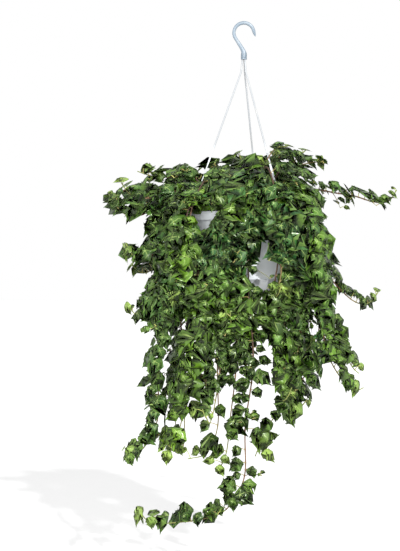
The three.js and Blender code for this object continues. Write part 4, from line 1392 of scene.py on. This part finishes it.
def tubes_through(name, rings):
    """The stem, its side shoots and all leaf stalks: one curve, bevelled round and made a mesh"""
    deselect_all()
    bpy.ops.curve.primitive_nurbs_path_add()
    tubes = bpy.context.object
    tubes.location = (0, 0, 0)
    data = tubes.data
    data.splines.clear()
    data.dimensions = "3D"
    tones, ages, kinds = [], [], []
    for points, kind in rings:
        spline = data.splines.new("POLY")
        spline.points.add(len(points) - 1)
        for point, (place, radius, tone, age) in zip(spline.points, points):
            x, y, z = place * MM
            point.co = (x, y, z - RIM_DROP * MM, 1)
            point.radius = radius
            tones.append(tone)
            ages.append(age)
            kinds.append(kind)
    data.bevel_mode = "ROUND"
    data.bevel_depth = MM
    data.bevel_resolution = 1
    data.use_fill_caps = False
    take(tubes)
    bpy.ops.object.convert(target="MESH")
    tubes = bpy.context.object
    sides = 6
    mesh = tubes.data
    if len(mesh.vertices) != sides * len(tones):
        raise RuntimeError(f"{name}: {len(mesh.vertices)} vertices in {len(tones)} rings")
    for attribute, values in (("tone", tones), ("age", ages)):
        layer = mesh.attributes.new(attribute, "FLOAT", "POINT")
        layer.data.foreach_set("value", np.repeat(np.array(values, dtype=np.float32), sides))
    begin_editing()
    bpy.ops.mesh.fill_holes(sides=0)
    end_editing()
    wear(tubes, *[bpy.data.materials[m] for m in FOLIAGE])
    for face in mesh.polygons:
        face.material_index = 2 + kinds[face.vertices[0] // sides]
        face.use_smooth = len(face.vertices) == 4
    return tubes


FOLIAGE = ("ivy_blade", "ivy_underside", "ivy_stem", "ivy_stalk")


class IVY_OT_leafy_stems(bpy.types.Operator):
    """Grows the 53 leafy stems: bark, leaf nodes, stalks and lobed blades, one piece for each stem"""

    bl_idname = "ivy.leafy_stems"
    bl_label = "Leafy stems"

    def execute(self, context):
        settings = context.scene.ivy_plant
        for make in (ivy_blade, ivy_underside, ivy_stem, ivy_stalk):
            make(settings)
        template, roles = blade_template(settings)
        shapes = BladeShapes(roles)
        for number, (name, route) in enumerate(plant_routes()):
            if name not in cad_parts:
                raise RuntimeError(f"the frame has no node {name}")
            rings, leaves = self.grow(name, number, route, settings)
            blades = [self.blade(template, shapes, leaf, settings) for leaf in leaves]
            piece = join([tubes_through(name, rings), *blades], f"leafy_{name}")
            stand_for(piece, "foliage", name)
        bpy.data.objects.remove(template)
        return {"FINISHED"}

    def grow(self, name, number, route, settings):
        """A stem's own line with those of its shoots and leaf stalks, and all its leaves"""
        curve_line, span_line = stem_lines(route)
        leaves = leaves_of(span_line, 1000 + 97 * number)
        nodes = np.array([leaf["s"] for leaf in leaves]) * curve_line.length / span_line.length
        shoots = []
        for leaf, node in zip(list(leaves), nodes):
            leaf["start"] = curve_line.at(float(node))[0]
            line, leaflets = side_shoot(leaf, settings.bushiness)
            if leaflets:
                shoots.append(line)
                leaves += leaflets
        for leaf in leaves:
            dress(leaf, name, number)
        rings = [(stem_points(curve_line, nodes, settings), STEM)]
        rings += [(shoot_points(line), STEM) for line in shoots]
        return rings + [(stalk_points(leaf, settings), STALK) for leaf in leaves], leaves

    def blade(self, template, shapes, leaf, settings):
        piece = copy_of(template)
        mesh = piece.data
        places = (shapes.shaped(leaf, settings) - (0, 0, RIM_DROP)) * MM
        mesh.vertices.foreach_set("co", places.astype(np.float32).ravel())
        for name, value in (("tone", leaf["tone"]), ("age", leaf["youth"]), ("warmth", leaf["warmth"])):
            mesh.attributes[name].data.foreach_set("value", [value] * len(mesh.vertices))
        return piece


# The studio

FLOOR_SIZE = 60
TOWARDS_KEY, KEY_ANGLE = (0.25, -1.0, 0.42), 1.6
FRONT_PLACE, FRONT_AIM, FRONT_SIZE = Vector((-0.55, -2.6, 0.15)), Vector((0, 0, -0.4)), 1.3
SENSOR = 36



class IVY_OT_studio(bpy.types.Operator):
    """Lays the pale floor and sets the soft light and the camera"""

    bl_idname = "ivy.studio"
    bl_label = "Studio"

    def execute(self, context):
        settings = context.scene.ivy_studio
        context.scene.view_settings.view_transform = "Standard"
        self.floor(settings)
        self.light(context.scene, settings)
        self.camera(context.scene, settings)
        return {"FINISHED"}

    def floor(self, settings):
        deselect_all()
        bpy.ops.mesh.primitive_plane_add(size=FLOOR_SIZE, location=(0, 0, settings.floor_height))
        floor = bpy.context.object
        floor.name = "studio_floor"
        bpy.ops.object.transform_apply(location=True, rotation=True, scale=True)
        finish = Finish("studio_floor")
        tinted = finish.mix(finish.noise(3, 4), (0.845, 0.845, 0.845), (0.865, 0.865, 0.865))
        finish.set(Base_Color=tinted, Roughness=0.9, Specular_IOR_Level=0.1)
        wear(floor, finish.material)

    def light(self, scene, settings):
        world = bpy.data.worlds.new("studio_light")
        world.use_nodes = True
        back = world.node_tree.nodes["Background"]
        back.inputs["Color"].default_value = (1, 1, 1, 1)
        back.inputs["Strength"].default_value = settings.sky
        scene.world = world
        deselect_all()
        bpy.ops.object.light_add(type="SUN")
        key = bpy.context.object
        key.name = "key_light"
        key.data.energy = settings.key
        key.data.angle = math.radians(KEY_ANGLE)
        key.rotation_euler = Vector(TOWARDS_KEY).to_track_quat("Z", "Y").to_euler()
        bpy.ops.object.light_add(type="AREA", location=FRONT_PLACE)
        front = bpy.context.object
        front.name = "front_light"
        front.data.shape = "DISK"
        front.data.size = FRONT_SIZE
        front.data.energy = settings.front
        front.rotation_euler = (FRONT_PLACE - FRONT_AIM).to_track_quat("Z", "Y").to_euler()

    def camera(self, scene, settings):
        bpy.ops.object.camera_add()
        camera = bpy.context.object
        camera.name = "studio_camera"
        camera.location = (settings.aim_x, -settings.distance, settings.aim_z)
        camera.rotation_euler = (math.radians(90), 0, 0)
        camera.data.sensor_fit = "VERTICAL"
        camera.data.sensor_height = SENSOR
        camera.data.lens = SENSOR * settings.distance / settings.view_height
        scene.camera = camera


class IVY_PT_panel(bpy.types.Panel):
    """The ivy pot's sizes, colours and pieces"""

    bl_idname = "IVY_PT_panel"
    bl_label = "Hanging ivy pot"
    bl_space_type = "VIEW_3D"
    bl_region_type = "UI"
    bl_category = "Ivy"

    def draw(self, context):
        for key, group in SETTINGS.items():
            column = self.layout.box().column()
            for name in group.__annotations__:
                column.prop(getattr(context.scene, key), name)
        for operator in OPERATORS:
            self.layout.operator(operator.bl_idname)


OPERATORS = (
    IVY_OT_studio, IVY_OT_hook, IVY_OT_strands, IVY_OT_pot, IVY_OT_saucer, IVY_OT_soil, IVY_OT_leafy_stems
)


def register():
    for kind in (*SETTINGS.values(), *OPERATORS, IVY_PT_panel):
        bpy.utils.register_class(kind)
    for key, group in SETTINGS.items():
        setattr(bpy.types.Scene, key, PointerProperty(type=group))


def unregister():
    for key in SETTINGS:
        delattr(bpy.types.Scene, key)
    for kind in reversed((*SETTINGS.values(), *OPERATORS, IVY_PT_panel)):
        bpy.utils.unregister_class(kind)


def main():
    register()
    bpy.ops.ivy.studio()
    bpy.ops.ivy.hook()
    bpy.ops.ivy.strands()
    bpy.ops.ivy.pot()
    bpy.ops.ivy.saucer()
    bpy.ops.ivy.soil()
    bpy.ops.ivy.leafy_stems()
    deselect_all()


if __name__ == "__main__":
    main()
